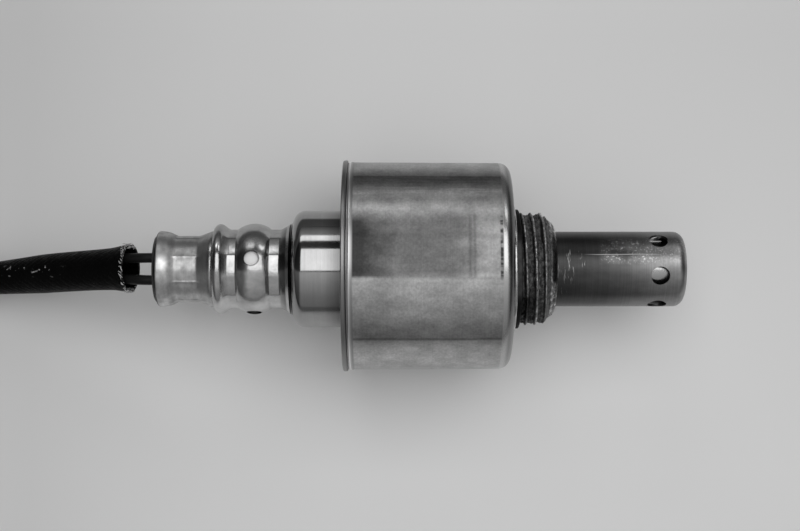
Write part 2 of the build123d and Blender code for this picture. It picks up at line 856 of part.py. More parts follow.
with BuildPart() as filter_sleeve:
    with BuildSketch(Plane.XY):
        with BuildLine():
            sleeve_side(0)
            Line(
                (behind(sleeve_length), neck_radius + slip),
                (behind(sleeve_length - sleeve_wall), neck_radius + slip),
            )
            sleeve_side(sleeve_wall)
            Line(
                (behind(mouth_gap), sleeve_mouth_diameter / 2 - sleeve_wall),
                (behind(mouth_gap), sleeve_mouth_diameter / 2),
            )
        make_face()
    revolve(axis=Axis.X)
    with round_the_axis(behind(vent_place), spread(sleeve_hole_turn, vent_hole_count)):
        Cylinder(
            sleeve_hole_diameter / 2,
            casing_radius,
            align=(Align.CENTER, Align.CENTER, Align.MIN),
            mode=Mode.SUBTRACT,
        )
keep(filter_sleeve.part, "filter_sleeve")

# ------------------------------------------------------------------- grommet and its leads
with BuildPart() as grommet:
    plug = neck_radius - casing_wall - rubber_slip
    waist = crimp_radius - casing_wall - rubber_slip
    with BuildSketch(Plane.XY):
        with BuildLine():
            start = Polyline(
                (behind(crimp_start + crimp_length + crimp_ramp), waist),
                (behind(crimp_start - crimp_ramp), waist),
                (behind(crimp_start - flare_length), plug),
                (behind(grommet_front + grommet_lead[0]), plug),
                (behind(grommet_front), plug - grommet_lead[1]),
                (behind(grommet_front), 0),
                (casing_end - grommet_proud, 0),
                (casing_end - grommet_proud, grommet_lip_diameter / 2 - grommet_lip_round),
                (casing_end - grommet_proud / 2, grommet_lip_diameter / 2),
                (casing_end - rubber_slip, grommet_lip_diameter / 2),
                (casing_end - rubber_slip, tail_edge_diameter / 2 - casing_wall - rubber_slip),
                (casing_end, tail_edge_diameter / 2 - casing_wall - rubber_slip),
            )
            ThreePointArc(
                start @ 1,
                (bulge_place, tail_bulge_diameter / 2 - casing_wall - rubber_slip),
                start @ 0,
            )
        make_face()
    revolve(axis=Axis.X)
    with BuildSketch(Plane.YZ.offset(behind(grommet_front))):
        with Locations(*wire_corners):
            Circle(wire_diameter / 2 + rubber_slip)
    extrude(amount=-neck_length, mode=Mode.SUBTRACT)
keep(grommet.part, "grommet")

# The sleeve's mouth is square to its own axis, and the leads are cut off flush inside it.
with BuildLine() as cord_path:
    runs = [math.dist(a, b) for a, b in zip(cord_route, cord_route[1:])]
    headings = [Vector(*b) - Vector(*a) for a, b in zip(cord_route, cord_route[1:])]
    bends = [
        0.45 * min(before, after) / math.tan(math.radians(a.get_angle(b)) / 2)
        for before, after, a, b in zip(runs, runs[1:], headings, headings[1:])
    ]
    FilletPolyline(*cord_route, radius=bends)
print("bend radii of the sleeve, mm:", [round(r) for r in bends])
mouth = Plane(origin=cord_route[0], z_dir=headings[0])

for number, (y, z) in enumerate(wire_corners, 1):
    with BuildPart() as lead_wire:
        with BuildSketch(Plane.YZ.offset(wire_front)):
            with Locations((y, z)):
                Circle(wire_diameter / 2)
        extrude(amount=cord_route[0][0] - wire_front - cord_diameter)
        split(bisect_by=mouth, keep=Keep.BOTTOM)
        with BuildSketch(Plane.YZ.offset(wire_front)):
            with Locations((y, z)):
                Circle(conductor_diameter / 2)
        extrude(amount=conductor_length)
    keep(lead_wire.part, f"lead_wire_{number}")

with BuildPart() as braided_sleeve:
    with BuildSketch(mouth):
        Circle(cord_diameter / 2)
    sweep(path=cord_path.line)
keep(braided_sleeve.part, "braided_sleeve")
cord_section = math.pi * cord_diameter**2 / 4
cord_run = cord_path.wires()[0].length
share = braided_sleeve.part.volume / (cord_run * cord_section)
print(f"sleeve, mm along its route: {cord_run:.1f}, volume over section times length: {share:.4f}")

with BuildLine(Plane.XY.offset(cord_rest)) as fold_path:
    first = Line(cord_route[-1][:2], (cord_route[-1][0] - fold_far, cord_route[-1][1]))
    far = JernArc(first @ 1, (-1, 0), fold_far_radius, -180)
    back = Line(far @ 1, (far @ 1) + (fold_back, 0))
    near_turn = JernArc(back @ 1, (1, 0), fold_near_radius, -fold_near_turn)
    last = PolarLine(near_turn @ 1, fold_end, direction=near_turn % 1)

# A band ties the two runs that lie side by side, and presses the soft sleeve in a little.
run_gap = 2 * (fold_far_radius - fold_near_radius)
with BuildPart() as cord_tie:
    tie_middle = (cord_route[-1][0] - tie_place, cord_route[-1][1] + run_gap / 2, cord_rest)
    with BuildSketch(Plane(origin=tie_middle, x_dir=(0, 1, 0), z_dir=(-1, 0, 0))):
        RectangleRounded(run_gap + cord_diameter, cord_diameter, cord_diameter / 2 - slip)
        RectangleRounded(
            run_gap + cord_diameter - 2 * tie_thickness,
            cord_diameter - 2 * tie_thickness,
            cord_diameter / 2 - slip - tie_thickness,
            mode=Mode.SUBTRACT,
        )
    extrude(amount=tie_width / 2, both=True)
keep(cord_tie.part, "cord_tie")

with BuildPart() as sleeve_hank:
    with BuildSketch(Plane(origin=cord_route[-1], z_dir=(-1, 0, 0))):
        Circle(cord_diameter / 2)
    sweep(path=fold_path.line)
    add(cord_tie.part, mode=Mode.SUBTRACT)
keep(sleeve_hank.part, "sleeve_hank")
print(f"folded sleeve, mm along its route: {fold_path.wires()[0].length:.1f}")

# ----------------------------------------------------------------------------- connector
connector_middle = surface + connector_height / 2
connector_rear = connector_place[0]
connector_face = connector_rear - connector_length
pin_places = [
    (y * pin_spacing_y / 2, z * pin_spacing_z / 2) for y in (1, -1) for z in (1, -1)
]


def across_connector(place):
    """Plane square to the connector's axis: local x is +Y, local y is +Z."""
    return Plane(
        origin=(place, connector_place[1], connector_middle), x_dir=(0, 1, 0), z_dir=(1, 0, 0)
    )


socket_width = connector_width - 2 * connector_wall
socket_height = connector_height - 2 * connector_wall
with BuildPart() as connector_housing:
    with BuildSketch(across_connector(connector_face)):
        RectangleRounded(connector_width, connector_height, connector_corner)
    extrude(amount=connector_length)
    rear_edges = connector_housing.edges().group_by(Axis.X)[-1]
    chamfer(rear_edges, connector_chamfer)
    # A raised latch ramp on the top, with a grip rib behind it.
    with BuildSketch(
        Plane(
            origin=(connector_rear - latch_back, connector_place[1], surface + connector_height),
            x_dir=(1, 0, 0),
            z_dir=(0, -1, 0),
        )
    ):
        Polygon(
            (0, -latch_root),
            (0, latch_height),
            (-latch_rib[0], latch_height),
            (-latch_rib[1], latch_height / 2),
            (latch_height - latch_length, latch_height / 2),
            (-latch_length, -latch_root),
            align=None,
        )
    extrude(amount=latch_width / 2, both=True)
    # Socket for the mating half, and the pocket of the wire seal.
    with BuildSketch(across_connector(connector_face)):
        RectangleRounded(socket_width, socket_height, connector_corner / 2)
    extrude(amount=socket_depth, mode=Mode.SUBTRACT)
    with BuildSketch(across_connector(connector_rear)):
        RectangleRounded(socket_width, socket_height, connector_corner / 2)
    extrude(amount=-seal_depth, mode=Mode.SUBTRACT)
    with BuildSketch(across_connector(connector_rear)):
        with Locations(*pin_places):
            Circle(wire_diameter / 2 + 2 * slip)
    extrude(amount=-connector_length, mode=Mode.SUBTRACT)
    # Stiffening ribs on both sides.
    rib_middle = connector_face + connector_length / 2
    for side in (1, -1):
        for height in (-connector_height / 4, connector_height / 4):
            rib_y = connector_place[1] + side * connector_width / 2
            with Locations((rib_middle, rib_y, connector_middle + height)):
                Box(connector_length * rib_share, rib_size, rib_size)
keep(connector_housing.part, "connector_housing")

with BuildPart() as wire_seal:
    with BuildSketch(across_connector(connector_rear)):
        RectangleRounded(
            socket_width - 2 * rubber_slip, socket_height - 2 * rubber_slip, connector_corner / 2
        )
        with Locations(*pin_places):
            Circle(wire_diameter / 2 + rubber_slip, mode=Mode.SUBTRACT)
    extrude(amount=slip - seal_depth)
keep(wire_seal.part, "wire_seal")

socket_floor = connector_face + socket_depth
with BuildPart() as pin_retainer:
    with BuildSketch(across_connector(socket_floor)):
        RectangleRounded(
            socket_width - 2 * slip, socket_height - 2 * slip, connector_corner / 2
        )
        with Locations(*pin_places):
            Rectangle(pin_width + 2 * slip, pin_width / 2 + 2 * slip, mode=Mode.SUBTRACT)
    extrude(amount=-retainer_thickness)
keep(pin_retainer.part, "pin_retainer")

pin_rear = connector_rear - seal_depth - conductor_length - seal_to_core
for number, (y, z) in enumerate(pin_places, 1):
    # Flat blade in the socket, round barrel on the lead behind it.
    with BuildPart() as connector_pin:
        with BuildSketch(across_connector(socket_floor)):
            with Locations((y, z)):
                Rectangle(pin_width, pin_width / 2)
        extrude(amount=-pin_reach)
        chamfer(connector_pin.edges().group_by(Axis.X)[0], pin_width / 8)
        with BuildSketch(across_connector(socket_floor)):
            with Locations((y, z)):
                Circle(barrel_diameter / 2)
        extrude(amount=pin_rear + conductor_length - socket_floor)
        with BuildSketch(across_connector(pin_rear + conductor_length)):
            with Locations((y, z)):
                Circle(conductor_diameter / 2 + slip / 2)
        extrude(amount=-slip - conductor_length, mode=Mode.SUBTRACT)
    keep(connector_pin.part, f"connector_pin_{number}")

# Bare leads from the end of the sleeve to the connector.
sleeve_end = last @ 1
sleeve_heading = last % 1
bundle = [(y * bundle_spacing / 2, z * bundle_spacing / 2) for y in (1, -1) for z in (1, -1)]
for number, ((near_y, near_z), (y, z)) in enumerate(zip(bundle, pin_places), 1):
    aside = sleeve_heading.cross(Vector(0, 0, 1))
    start = sleeve_end + aside * near_y + Vector(0, 0, near_z)
    goal = Vector(connector_rear, connector_place[1] + y, connector_middle + z)
    route = [start, start + sleeve_heading * lead_run, goal + Vector(lead_run, 0, 0), goal]
    with BuildLine() as lead_path:
        lead_runs = [(b - a).length for a, b in zip(route, route[1:])]
        lead_turns = [(b - a).get_angle(c - b) for a, b, c in zip(route, route[1:], route[2:])]
        lead_bends = [
            0.45 * min(before, after) / math.tan(math.radians(turn) / 2)
            for before, after, turn in zip(lead_runs, lead_runs[1:], lead_turns)
        ]
        FilletPolyline(*route, radius=lead_bends)
    with BuildPart() as connector_wire:
        with BuildSketch(Plane(origin=start, z_dir=sleeve_heading)):
            Circle(wire_diameter / 2)
        sweep(path=lead_path.line)
        with BuildSketch(across_connector(connector_rear)):
            with Locations((y, z)):
                Circle(wire_diameter / 2)
        extrude(amount=-seal_depth - seal_to_core)
        with BuildSketch(across_connector(connector_rear - seal_depth - seal_to_core)):
            with Locations((y, z)):
                Circle(conductor_diameter / 2)
        extrude(amount=-conductor_length)
    keep(connector_wire.part, f"connector_wire_{number}")
    print(f"lead {number} bend radii, mm: {[round(r, 1) for r in lead_bends]}")
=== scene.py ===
import math
import random

import bmesh
import bpy
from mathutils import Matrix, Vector, noise


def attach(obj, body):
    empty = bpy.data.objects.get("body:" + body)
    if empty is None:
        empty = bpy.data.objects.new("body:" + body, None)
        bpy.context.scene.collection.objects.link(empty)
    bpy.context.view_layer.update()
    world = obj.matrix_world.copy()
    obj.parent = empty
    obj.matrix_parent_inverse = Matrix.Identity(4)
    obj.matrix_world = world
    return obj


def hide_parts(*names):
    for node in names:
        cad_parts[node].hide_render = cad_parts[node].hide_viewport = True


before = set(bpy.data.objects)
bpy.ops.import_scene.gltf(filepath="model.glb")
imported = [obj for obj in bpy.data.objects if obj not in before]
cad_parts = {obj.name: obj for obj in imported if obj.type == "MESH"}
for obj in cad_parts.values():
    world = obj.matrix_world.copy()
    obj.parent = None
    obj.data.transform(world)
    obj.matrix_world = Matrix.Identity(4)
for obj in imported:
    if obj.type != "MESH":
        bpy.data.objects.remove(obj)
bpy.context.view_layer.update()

# X is the sensor's axis. Profiles, routes and named sizes are in millimetres, and what Blender
# and the materials take is in metres.
MM = 0.001
shoulder = -36.2              # the casing steps down here
vent_back = 5.75              # from the shoulder back to the vent holes
vent_turn = -14               # degrees from the top to the first vent hole
vent_radius = 1.15
vent_count = 4
chance = random.Random(7)

# ------------------------------------------------------------------- the camera
camera_height = 0.235
camera_lens = bpy.data.cameras.new("camera")
camera_lens.sensor_width = 36
camera_lens.lens = 66.2
camera = bpy.data.objects.new("camera", camera_lens)
camera.location = (-0.01885, 0.00056, camera_height)
bpy.context.scene.collection.objects.link(camera)
bpy.context.scene.camera = camera
bpy.context.scene.view_settings.view_transform = "Standard"

# ---------------------------------------------------------------------- meshes
turned_edge = 35              # degrees between two faces from which an edge is left sharp
tube_edge = 50
weld_distance = 1e-7


def add_object(name, mesh, look):
    """A new object of the scene, with one material."""
    piece = bpy.data.objects.new(name, mesh)
    bpy.context.scene.collection.objects.link(piece)
    mesh.materials.append(look)
    return piece


def plain_mesh(name, points, faces):
    """A mesh from points in millimetres."""
    mesh = bpy.data.meshes.new(name)
    mesh.from_pydata([tuple(MM * c for c in p) for p in points], [], faces)
    return mesh


def smooth(mesh, sharp_degrees):
    """Smooth shading, with the edges over this angle left sharp."""
    mesh.shade_smooth()
    mesh.set_sharp_from_angle(angle=math.radians(sharp_degrees))


def face_outwards(mesh, weld=False):
    """Turns a mesh's faces outwards, and first joins its points that coincide, if weld is set."""
    shape = bmesh.new()
    shape.from_mesh(mesh)
    if weld:
        bmesh.ops.remove_doubles(shape, verts=shape.verts, dist=weld_distance)
    bmesh.ops.recalc_face_normals(shape, faces=shape.faces)
    shape.to_mesh(mesh)
    shape.free()


def solid_mesh(name, points, faces):
    """A closed mesh from points in millimetres, shaded smooth."""
    mesh = plain_mesh(name, points, faces)
    face_outwards(mesh, weld=True)
    smooth(mesh, turned_edge)
    return mesh


def rounded(corners, steps=6):
    """A closed profile whose corners (x, r, fillet) are rounded; (x, r) stays sharp."""
    points = []
    for number, corner in enumerate(corners):
        here = Vector(corner[:2])
        if len(corner) < 3:
            points.append((here.x, here.y))
            continue
        before = Vector(corners[number - 1][:2]) - here
        after = Vector(corners[(number + 1) % len(corners)][:2]) - here
        half = before.angle(after) / 2
        middle = before.normalized() + after.normalized()
        centre = here + middle.normalized() * corner[2] / math.sin(half)
        reach = corner[2] / math.tan(half)
        first = here + before.normalized() * reach - centre
        last = here + after.normalized() * reach - centre
        sweep = math.radians(180) - 2 * half
        turn = math.copysign(sweep, first.x * last.y - first.y * last.x)
        for step in range(steps + 1):
            part = turn * step / steps
            x = first.x * math.cos(part) - first.y * math.sin(part)
            y = first.x * math.sin(part) + first.y * math.cos(part)
            points.append((centre.x + x, centre.y + y))
    return points


def arc(first, middle, last, steps=12):
    """Points of the circular arc through three points of a profile."""
    (ax, ay), (bx, by), (cx, cy) = first, middle, last
    d = 2 * (ax * (by - cy) + bx * (cy - ay) + cx * (ay - by))
    a2, b2, c2 = ax * ax + ay * ay, bx * bx + by * by, cx * cx + cy * cy
    centre = Vector(
        (
            (a2 * (by - cy) + b2 * (cy - ay) + c2 * (ay - by)) / d,
            (a2 * (cx - bx) + b2 * (ax - cx) + c2 * (bx - ax)) / d,
        )
    )
    start = Vector(first) - centre
    end = Vector(last) - centre
    side = (bx - ax) * (cy - ay) - (by - ay) * (cx - ax)
    total = math.atan2(start.x * end.y - start.y * end.x, start.dot(end))
    if side > 0 and total < 0:
        total += 2 * math.pi
    if side < 0 and total > 0:
        total -= 2 * math.pi
    points = []
    for step in range(steps + 1):
        part = total * step / steps
        x = start.x * math.cos(part) - start.y * math.sin(part)
        y = start.x * math.sin(part) + start.y * math.cos(part)
        points.append((centre.x + x, centre.y + y))
    return points


def refined(profile, step):
    """The profile with its long sides divided, apart from the side that closes it."""
    points = []
    for here, after in zip(profile, profile[1:]):
        count = max(1, math.ceil(math.dist(here, after) / step))
        for part in range(count):
            share = part / count
            points.append((here[0] + (after[0] - here[0]) * share, here[1] + (after[1] - here[1]) * share))
    return points + [profile[-1]]


def lathe(name, profile, look, around=256, centre_y=0.0, radius_at=None):
    """A closed profile of (x, r) turned about X; radius_at may change r by the turn from +Y."""
    points, faces = [], []
    for x, r in profile:
        for side in range(around):
            turn = 2 * math.pi * side / around
            radius = radius_at(x, r, turn) if radius_at else r
            points.append((x, centre_y + radius * math.cos(turn), radius * math.sin(turn)))
    rings = len(profile)
    for ring in range(rings):
        here, after = ring * around, (ring + 1) % rings * around
        for side in range(around):
            beside = (side + 1) % around
            faces.append((here + side, here + beside, after + beside, after + side))
    return add_object(name, solid_mesh(name, points, faces), look)


def cut_holes(piece, x, radius, first_turn, count):
    """A ring of round holes through a wall, the first at this turn in degrees from the top."""
    points, faces = [], []
    sides = 48
    cutter_start, cutter_end = 2.0, 12.0
    for number in range(count):
        turn = math.radians(first_turn + 360 / count * number)
        outwards = Vector((0, -math.sin(turn), math.cos(turn)))
        across = Vector((0, outwards.z, -outwards.y))
        base = len(points)
        for reach in (cutter_start, cutter_end):
            for side in range(sides):
                angle = 2 * math.pi * side / sides
                spot = outwards * reach + across * radius * math.cos(angle)
                points.append((x + radius * math.sin(angle), spot.y, spot.z))
        for side in range(sides):
            beside = (side + 1) % sides
            faces.append((base + side, base + beside, base + sides + beside, base + sides + side))
        faces.append([base + side for side in range(sides)])
        faces.append([base + sides + side for side in range(sides)])
    cutter = add_object("cutter", solid_mesh("cutter", points, faces), piece.data.materials[0])
    cut = piece.modifiers.new("cut", "BOOLEAN")
    cut.object = cutter
    cut.solver = "EXACT"
    seen = piece.evaluated_get(bpy.context.evaluated_depsgraph_get())
    mesh = bpy.data.meshes.new_from_object(seen)
    piece.modifiers.clear()
    piece.data = mesh
    bpy.data.objects.remove(cutter)
    smooth(mesh, turned_edge)


def rings_along(path, radius_at):
    """Rings (centre, heading, radius, distance from the start) along a path in millimetres."""
    rings = []
    walked = 0.0
    for number, here in enumerate(path):
        before = Vector(path[max(number - 1, 0)])
        after = Vector(path[min(number + 1, len(path) - 1)])
        walked += math.dist(path[max(number - 1, 0)], here)
        rings.append((Vector(here), (after - before).normalized(), radius_at(walked), walked))
    return rings


def tube_along(name, rings, look, around=24):
    """A capped tube through rings, with a UV map of its share round and millimetres along."""
    points, faces, marks = [], [], []
    up = Vector((0, 0, 1))
    for centre, heading, radius, _ in rings:
        aside = heading.cross(up).normalized()
        above = aside.cross(heading)
        for side in range(around):
            turn = 2 * math.pi * side / around
            points.append(tuple(centre + (aside * math.cos(turn) + above * math.sin(turn)) * radius))
    for ring in range(len(rings) - 1):
        here, after = ring * around, (ring + 1) * around
        walked, ahead = rings[ring][3], rings[ring + 1][3]
        for side in range(around):
            beside = (side + 1) % around
            faces.append((here + side, here + beside, after + beside, after + side))
            marks += [(side, walked), (side + 1, walked), (side + 1, ahead), (side, ahead)]
    faces.append(list(range(around)))
    faces.append([(len(rings) - 1) * around + side for side in range(around)])
    mesh = plain_mesh(name, points, faces)
    chart = mesh.uv_layers.new(name="UVMap")
    for corner, (side, walked) in enumerate(marks):
        chart.data[corner].uv = (side / around, walked)
    face_outwards(mesh)
    smooth(mesh, tube_edge)
    return add_object(name, mesh, look)


# ------------------------------------------------------------------- materials
def feed(tree, target, value):
    """Puts a constant or the output of a node on an input."""
    if isinstance(value, bpy.types.NodeSocket):
        tree.links.new(value, target)
    else:
        target.default_value = value


def add_node(tree, kind, **inputs):
    """A new shader node with these inputs, in whose names _ stands for a space."""
    node = tree.nodes.new("ShaderNode" + kind)
    for socket, value in inputs.items():
        feed(tree, node.inputs[socket.replace("_", " ")], value)
    return node


def add_math(tree, operation, *values):
    """The result of a math node."""
    node = add_node(tree, "Math")
    node.operation = operation
    for target, value in zip(node.inputs, values):
        feed(tree, target, value)
    return node.outputs[0]


def add_ramp(tree, value, stops, low, high):
    """The grey that (value, tone) stops give, on a colour ramp from low to high."""
    share = add_node(tree, "MapRange", Value=value, From_Min=low, From_Max=high)
    ramp = add_node(tree, "ValToRGB", Fac=share.outputs["Result"])
    elements = ramp.color_ramp.elements
    while len(elements) < len(stops):
        elements.new(0.5)
    for element, (place, tone) in zip(elements, stops):
        element.position = (place - low) / (high - low)
        element.color = (tone, tone, tone, 1)
    return ramp.outputs["Color"]


class Look:
    """A material with a Principled shader and short ways to add textures to it."""

    def __init__(self, name, colour, metallic, roughness, **sockets):
        self.material = bpy.data.materials.new(name)
        self.material.use_nodes = True
        self.tree = self.material.node_tree
        self.shader = self.tree.nodes["Principled BSDF"]
        self.set("Base Color", (colour, colour, colour, 1))
        self.set("Metallic", metallic)
        self.set("Roughness", roughness)
        for socket, value in sockets.items():
            self.set(socket.replace("_", " "), value)
        self.place = self.node("TexCoord").outputs["Object"]

    def node(self, kind, **inputs):
        return add_node(self.tree, kind, **inputs)

    def math(self, operation, *values):
        return add_math(self.tree, operation, *values)

    def set(self, socket, value):
        """Puts a constant or the output of a node on one of the shader's inputs."""
        feed(self.tree, self.shader.inputs[socket], value)

    def noise(self, stretch, detail=3, rough=0.5):
        """Noise with this many features per metre along X, Y and Z, from 0 to 1."""
        spot = self.node("Mapping", Vector=self.place, Scale=stretch).outputs["Vector"]
        return self.node("TexNoise", Vector=spot, Scale=1, Detail=detail, Roughness=rough).outputs["Fac"]

    def axis(self, name):
        """One of the object's own coordinates, in metres."""
        return self.node("SeparateXYZ", Vector=self.place).outputs[name]

    def hypotenuse(self, first, second):
        """The distance that goes this far one way and this far across."""
        square = self.math("MULTIPLY", second, second)
        return self.math("SQRT", self.math("MULTIPLY_ADD", first, first, square))

    def radius(self):
        """The distance from the sensor's axis, in metres."""
        return self.hypotenuse(self.axis("Y"), self.axis("Z"))

    def turn(self):
        """Degrees round the sensor's axis, from the top towards +Y."""
        return self.math("DEGREES", self.math("ARCTAN2", self.axis("Y"), self.axis("Z")))

    def spread(self, value, low, high, to_low=0.0, to_high=1.0):
        """The value mapped from one range to another, and kept in it."""
        ends = {"From_Min": low, "From_Max": high, "To_Min": to_low, "To_Max": to_high}
        return self.node("MapRange", Value=value, **ends).outputs["Result"]

    def tones(self, value, stops):
        """The grey that a list of (value, tone) gives, with straight steps between."""
        return add_ramp(self.tree, value, stops, stops[0][0], stops[-1][0])

    def product(self, first, *others):
        """All the values multiplied."""
        for other in others:
            first = self.math("MULTIPLY", first, other)
        return first

    def window(self, value, start, full, fading, end):
        """From 0 at the start to 1 where it is full, and from 1 where it is fading to 0 at the end."""
        return self.product(self.spread(value, start, full), self.spread(value, end, fading))

    def most(self, first, *others):
        """The largest of the values."""
        for other in others:
            first = self.math("MAXIMUM", first, other)
        return first

    def between(self, share, low, high):
        """From low to high as the share goes from 0 to 1."""
        return self.math("MULTIPLY_ADD", share, self.math("SUBTRACT", high, low), low)

    def grey(self, value):
        """A grey of this brightness, for a colour socket."""
        return self.node("CombineColor", Red=value, Green=value, Blue=value).outputs["Color"]

    def bump(self, height, distance):
        """Adds relief of this depth in metres."""
        node = self.node("Bump", Height=height, Distance=distance)
        if self.shader.inputs["Normal"].is_linked:
            feed(self.tree, node.inputs["Normal"], self.shader.inputs["Normal"].links[0].from_socket)
        self.set("Normal", node.outputs["Normal"])


def grained_look(name, colour, metallic, roughness, grain, depth, detail=3, **sockets):
    """A look of one colour with grain, given by its features per metre and its depth in metres."""
    look = Look(name, colour, metallic, roughness, **sockets)
    look.bump(look.noise(grain, detail), depth)
    return look


pitch = 1.5
first_crest = 0.35            # at the side towards +Y, and a quarter pitch on at the top

# In the looks below, places along the axis and radii are in metres, and turns are in degrees
# from the top. spread() goes from 0 to 1 between two of them, unless it gives other ends.


def drawn_steel():
    """The drawn casing is bright over its front and satin on its crimped tail. Its colour holds painted
    shade in the seam between its shoulder and the filter sleeve's mouth, beside the cup and in the
    gap of its rolled end, and painted highlights on the tail's side towards -Y and on its bulged end.
    """
    look = Look("drawn_steel", 0.37, 1.0, 0.1)
    along_casing = look.axis("X")
    casing_rings = look.noise((5200, 90, 90), detail=4)
    cloud = look.noise((190, 190, 190), detail=5, rough=0.6)
    dents = look.noise((900, 700, 700), detail=4, rough=0.6)
    tail = look.spread(along_casing, -0.0478, -0.0492)
    # Painted shade: the casing is painted darker where it runs beside the cup.
    cup_shade_zone = look.spread(along_casing, -0.0308, -0.0284)
    casing_turn = look.turn()
    # Painted highlight: the crimped tail is painted lighter on its side towards -Y.
    tail_lower_highlight = look.product(tail, look.spread(casing_turn, -4, -16))
    bulged_end = look.spread(along_casing, -0.0538, -0.0550)
    # Painted highlight: the top of the bulged end is painted lighter.
    end_highlight = look.tones(casing_turn, [(-24, 1.0), (-14, 1.1), (-2, 1.2), (12, 1.2), (26, 1.0)])
    # Painted shade and highlights along the end: nearly black in the gap of the rolled-in rim, then lighter
    # and darker bands across the bulge.
    end_light_and_shade = look.tones(
        along_casing,
        [
            (-0.05735, 0.04), (-0.05715, 0.04), (-0.057, 1.1), (-0.0562, 1.15), (-0.0556, 1.1),
            (-0.0552, 0.85), (-0.0548, 0.75), (-0.0545, 0.8), (-0.0542, 1.0),
        ],
    )
    # Painted shade: the seam between the shoulder and the sleeve's mouth is painted nearly black.
    seam_shade = look.product(
        look.window(along_casing, -0.0366, -0.0362, -0.0358, -0.0355),
        look.spread(look.radius(), 0.0081, 0.0078),
    )
    casing_tone = look.product(
        look.spread(casing_rings, 0.3, 0.7, 0.95, 1.05),
        look.spread(cloud, 0.3, 0.7, 0.3, 0.36),
        look.between(tail, 1.0, look.spread(dents, 0.3, 0.7, 0.85, 1.35)),
        look.between(seam_shade, 1.0, 0.04),
        look.between(cup_shade_zone, 1.0, 0.48),
        look.between(tail_lower_highlight, 1.0, 1.3),
        look.between(bulged_end, 1.0, end_highlight),
        end_light_and_shade,
    )
    look.set("Base Color", look.grey(casing_tone))
    bright_front = look.spread(cloud, 0.3, 0.7, 0.15, 0.07)
    satin_tail = look.spread(dents, 0.3, 0.7, 0.46, 0.3)
    look.set("Roughness", look.between(tail, bright_front, satin_tail))
    look.bump(casing_rings, 0.0000012)
    look.bump(look.math("MULTIPLY", dents, tail), 0.00002)
    return look


def pressed_steel():
    """The filter sleeve is handled more: duller, with small dents between the jaws. Its colour holds
    painted shade at its mouth and round its four holes, which are a quarter turn apart, and its side
    towards -Y is painted lighter.
    """
    look = Look("pressed_steel", 0.42, 1.0, 0.16)
    blotch = look.noise((420, 420, 420), detail=5, rough=0.6)
    ring_radius = 7.2
    half_step = 180 / vent_count
    metres_a_degree = math.radians(MM * ring_radius)
    from_vent = look.math("SUBTRACT", look.axis("X"), MM * (shoulder - vent_back))
    round_vent = look.math("ADD", look.turn(), vent_turn)
    round_vent = look.math("WRAP", round_vent, half_step, -half_step)
    round_vent = look.math("MULTIPLY", round_vent, metres_a_degree)
    from_vent = look.hypotenuse(from_vent, round_vent)
    pressed_tone = look.product(
        look.spread(blotch, 0.3, 0.7, 0.32, 0.5),
        # Painted shade: a dark ring round each vent hole.
        look.spread(from_vent, 0.00121, 0.00129, 0.12, 1),
        # Painted shade: the flared mouth is painted dark where it meets the casing's shoulder.
        look.tones(
            look.axis("X"),
            [(-0.0378, 0.5), (-0.0375, 0.3), (-0.0368, 0.22), (-0.0366, 0.5), (-0.0362, 0.5)],
        ),
        # Painted light: the side towards -Y is painted lighter than the top.
        look.spread(look.turn(), -6, -24, 1.9, 2.7),
    )
    look.set("Base Color", look.grey(pressed_tone))
    look.set("Roughness", look.spread(blotch, 0.3, 0.7, 0.28, 0.16))
    look.bump(look.noise((900, 500, 500), detail=3), 0.00004)
    return look


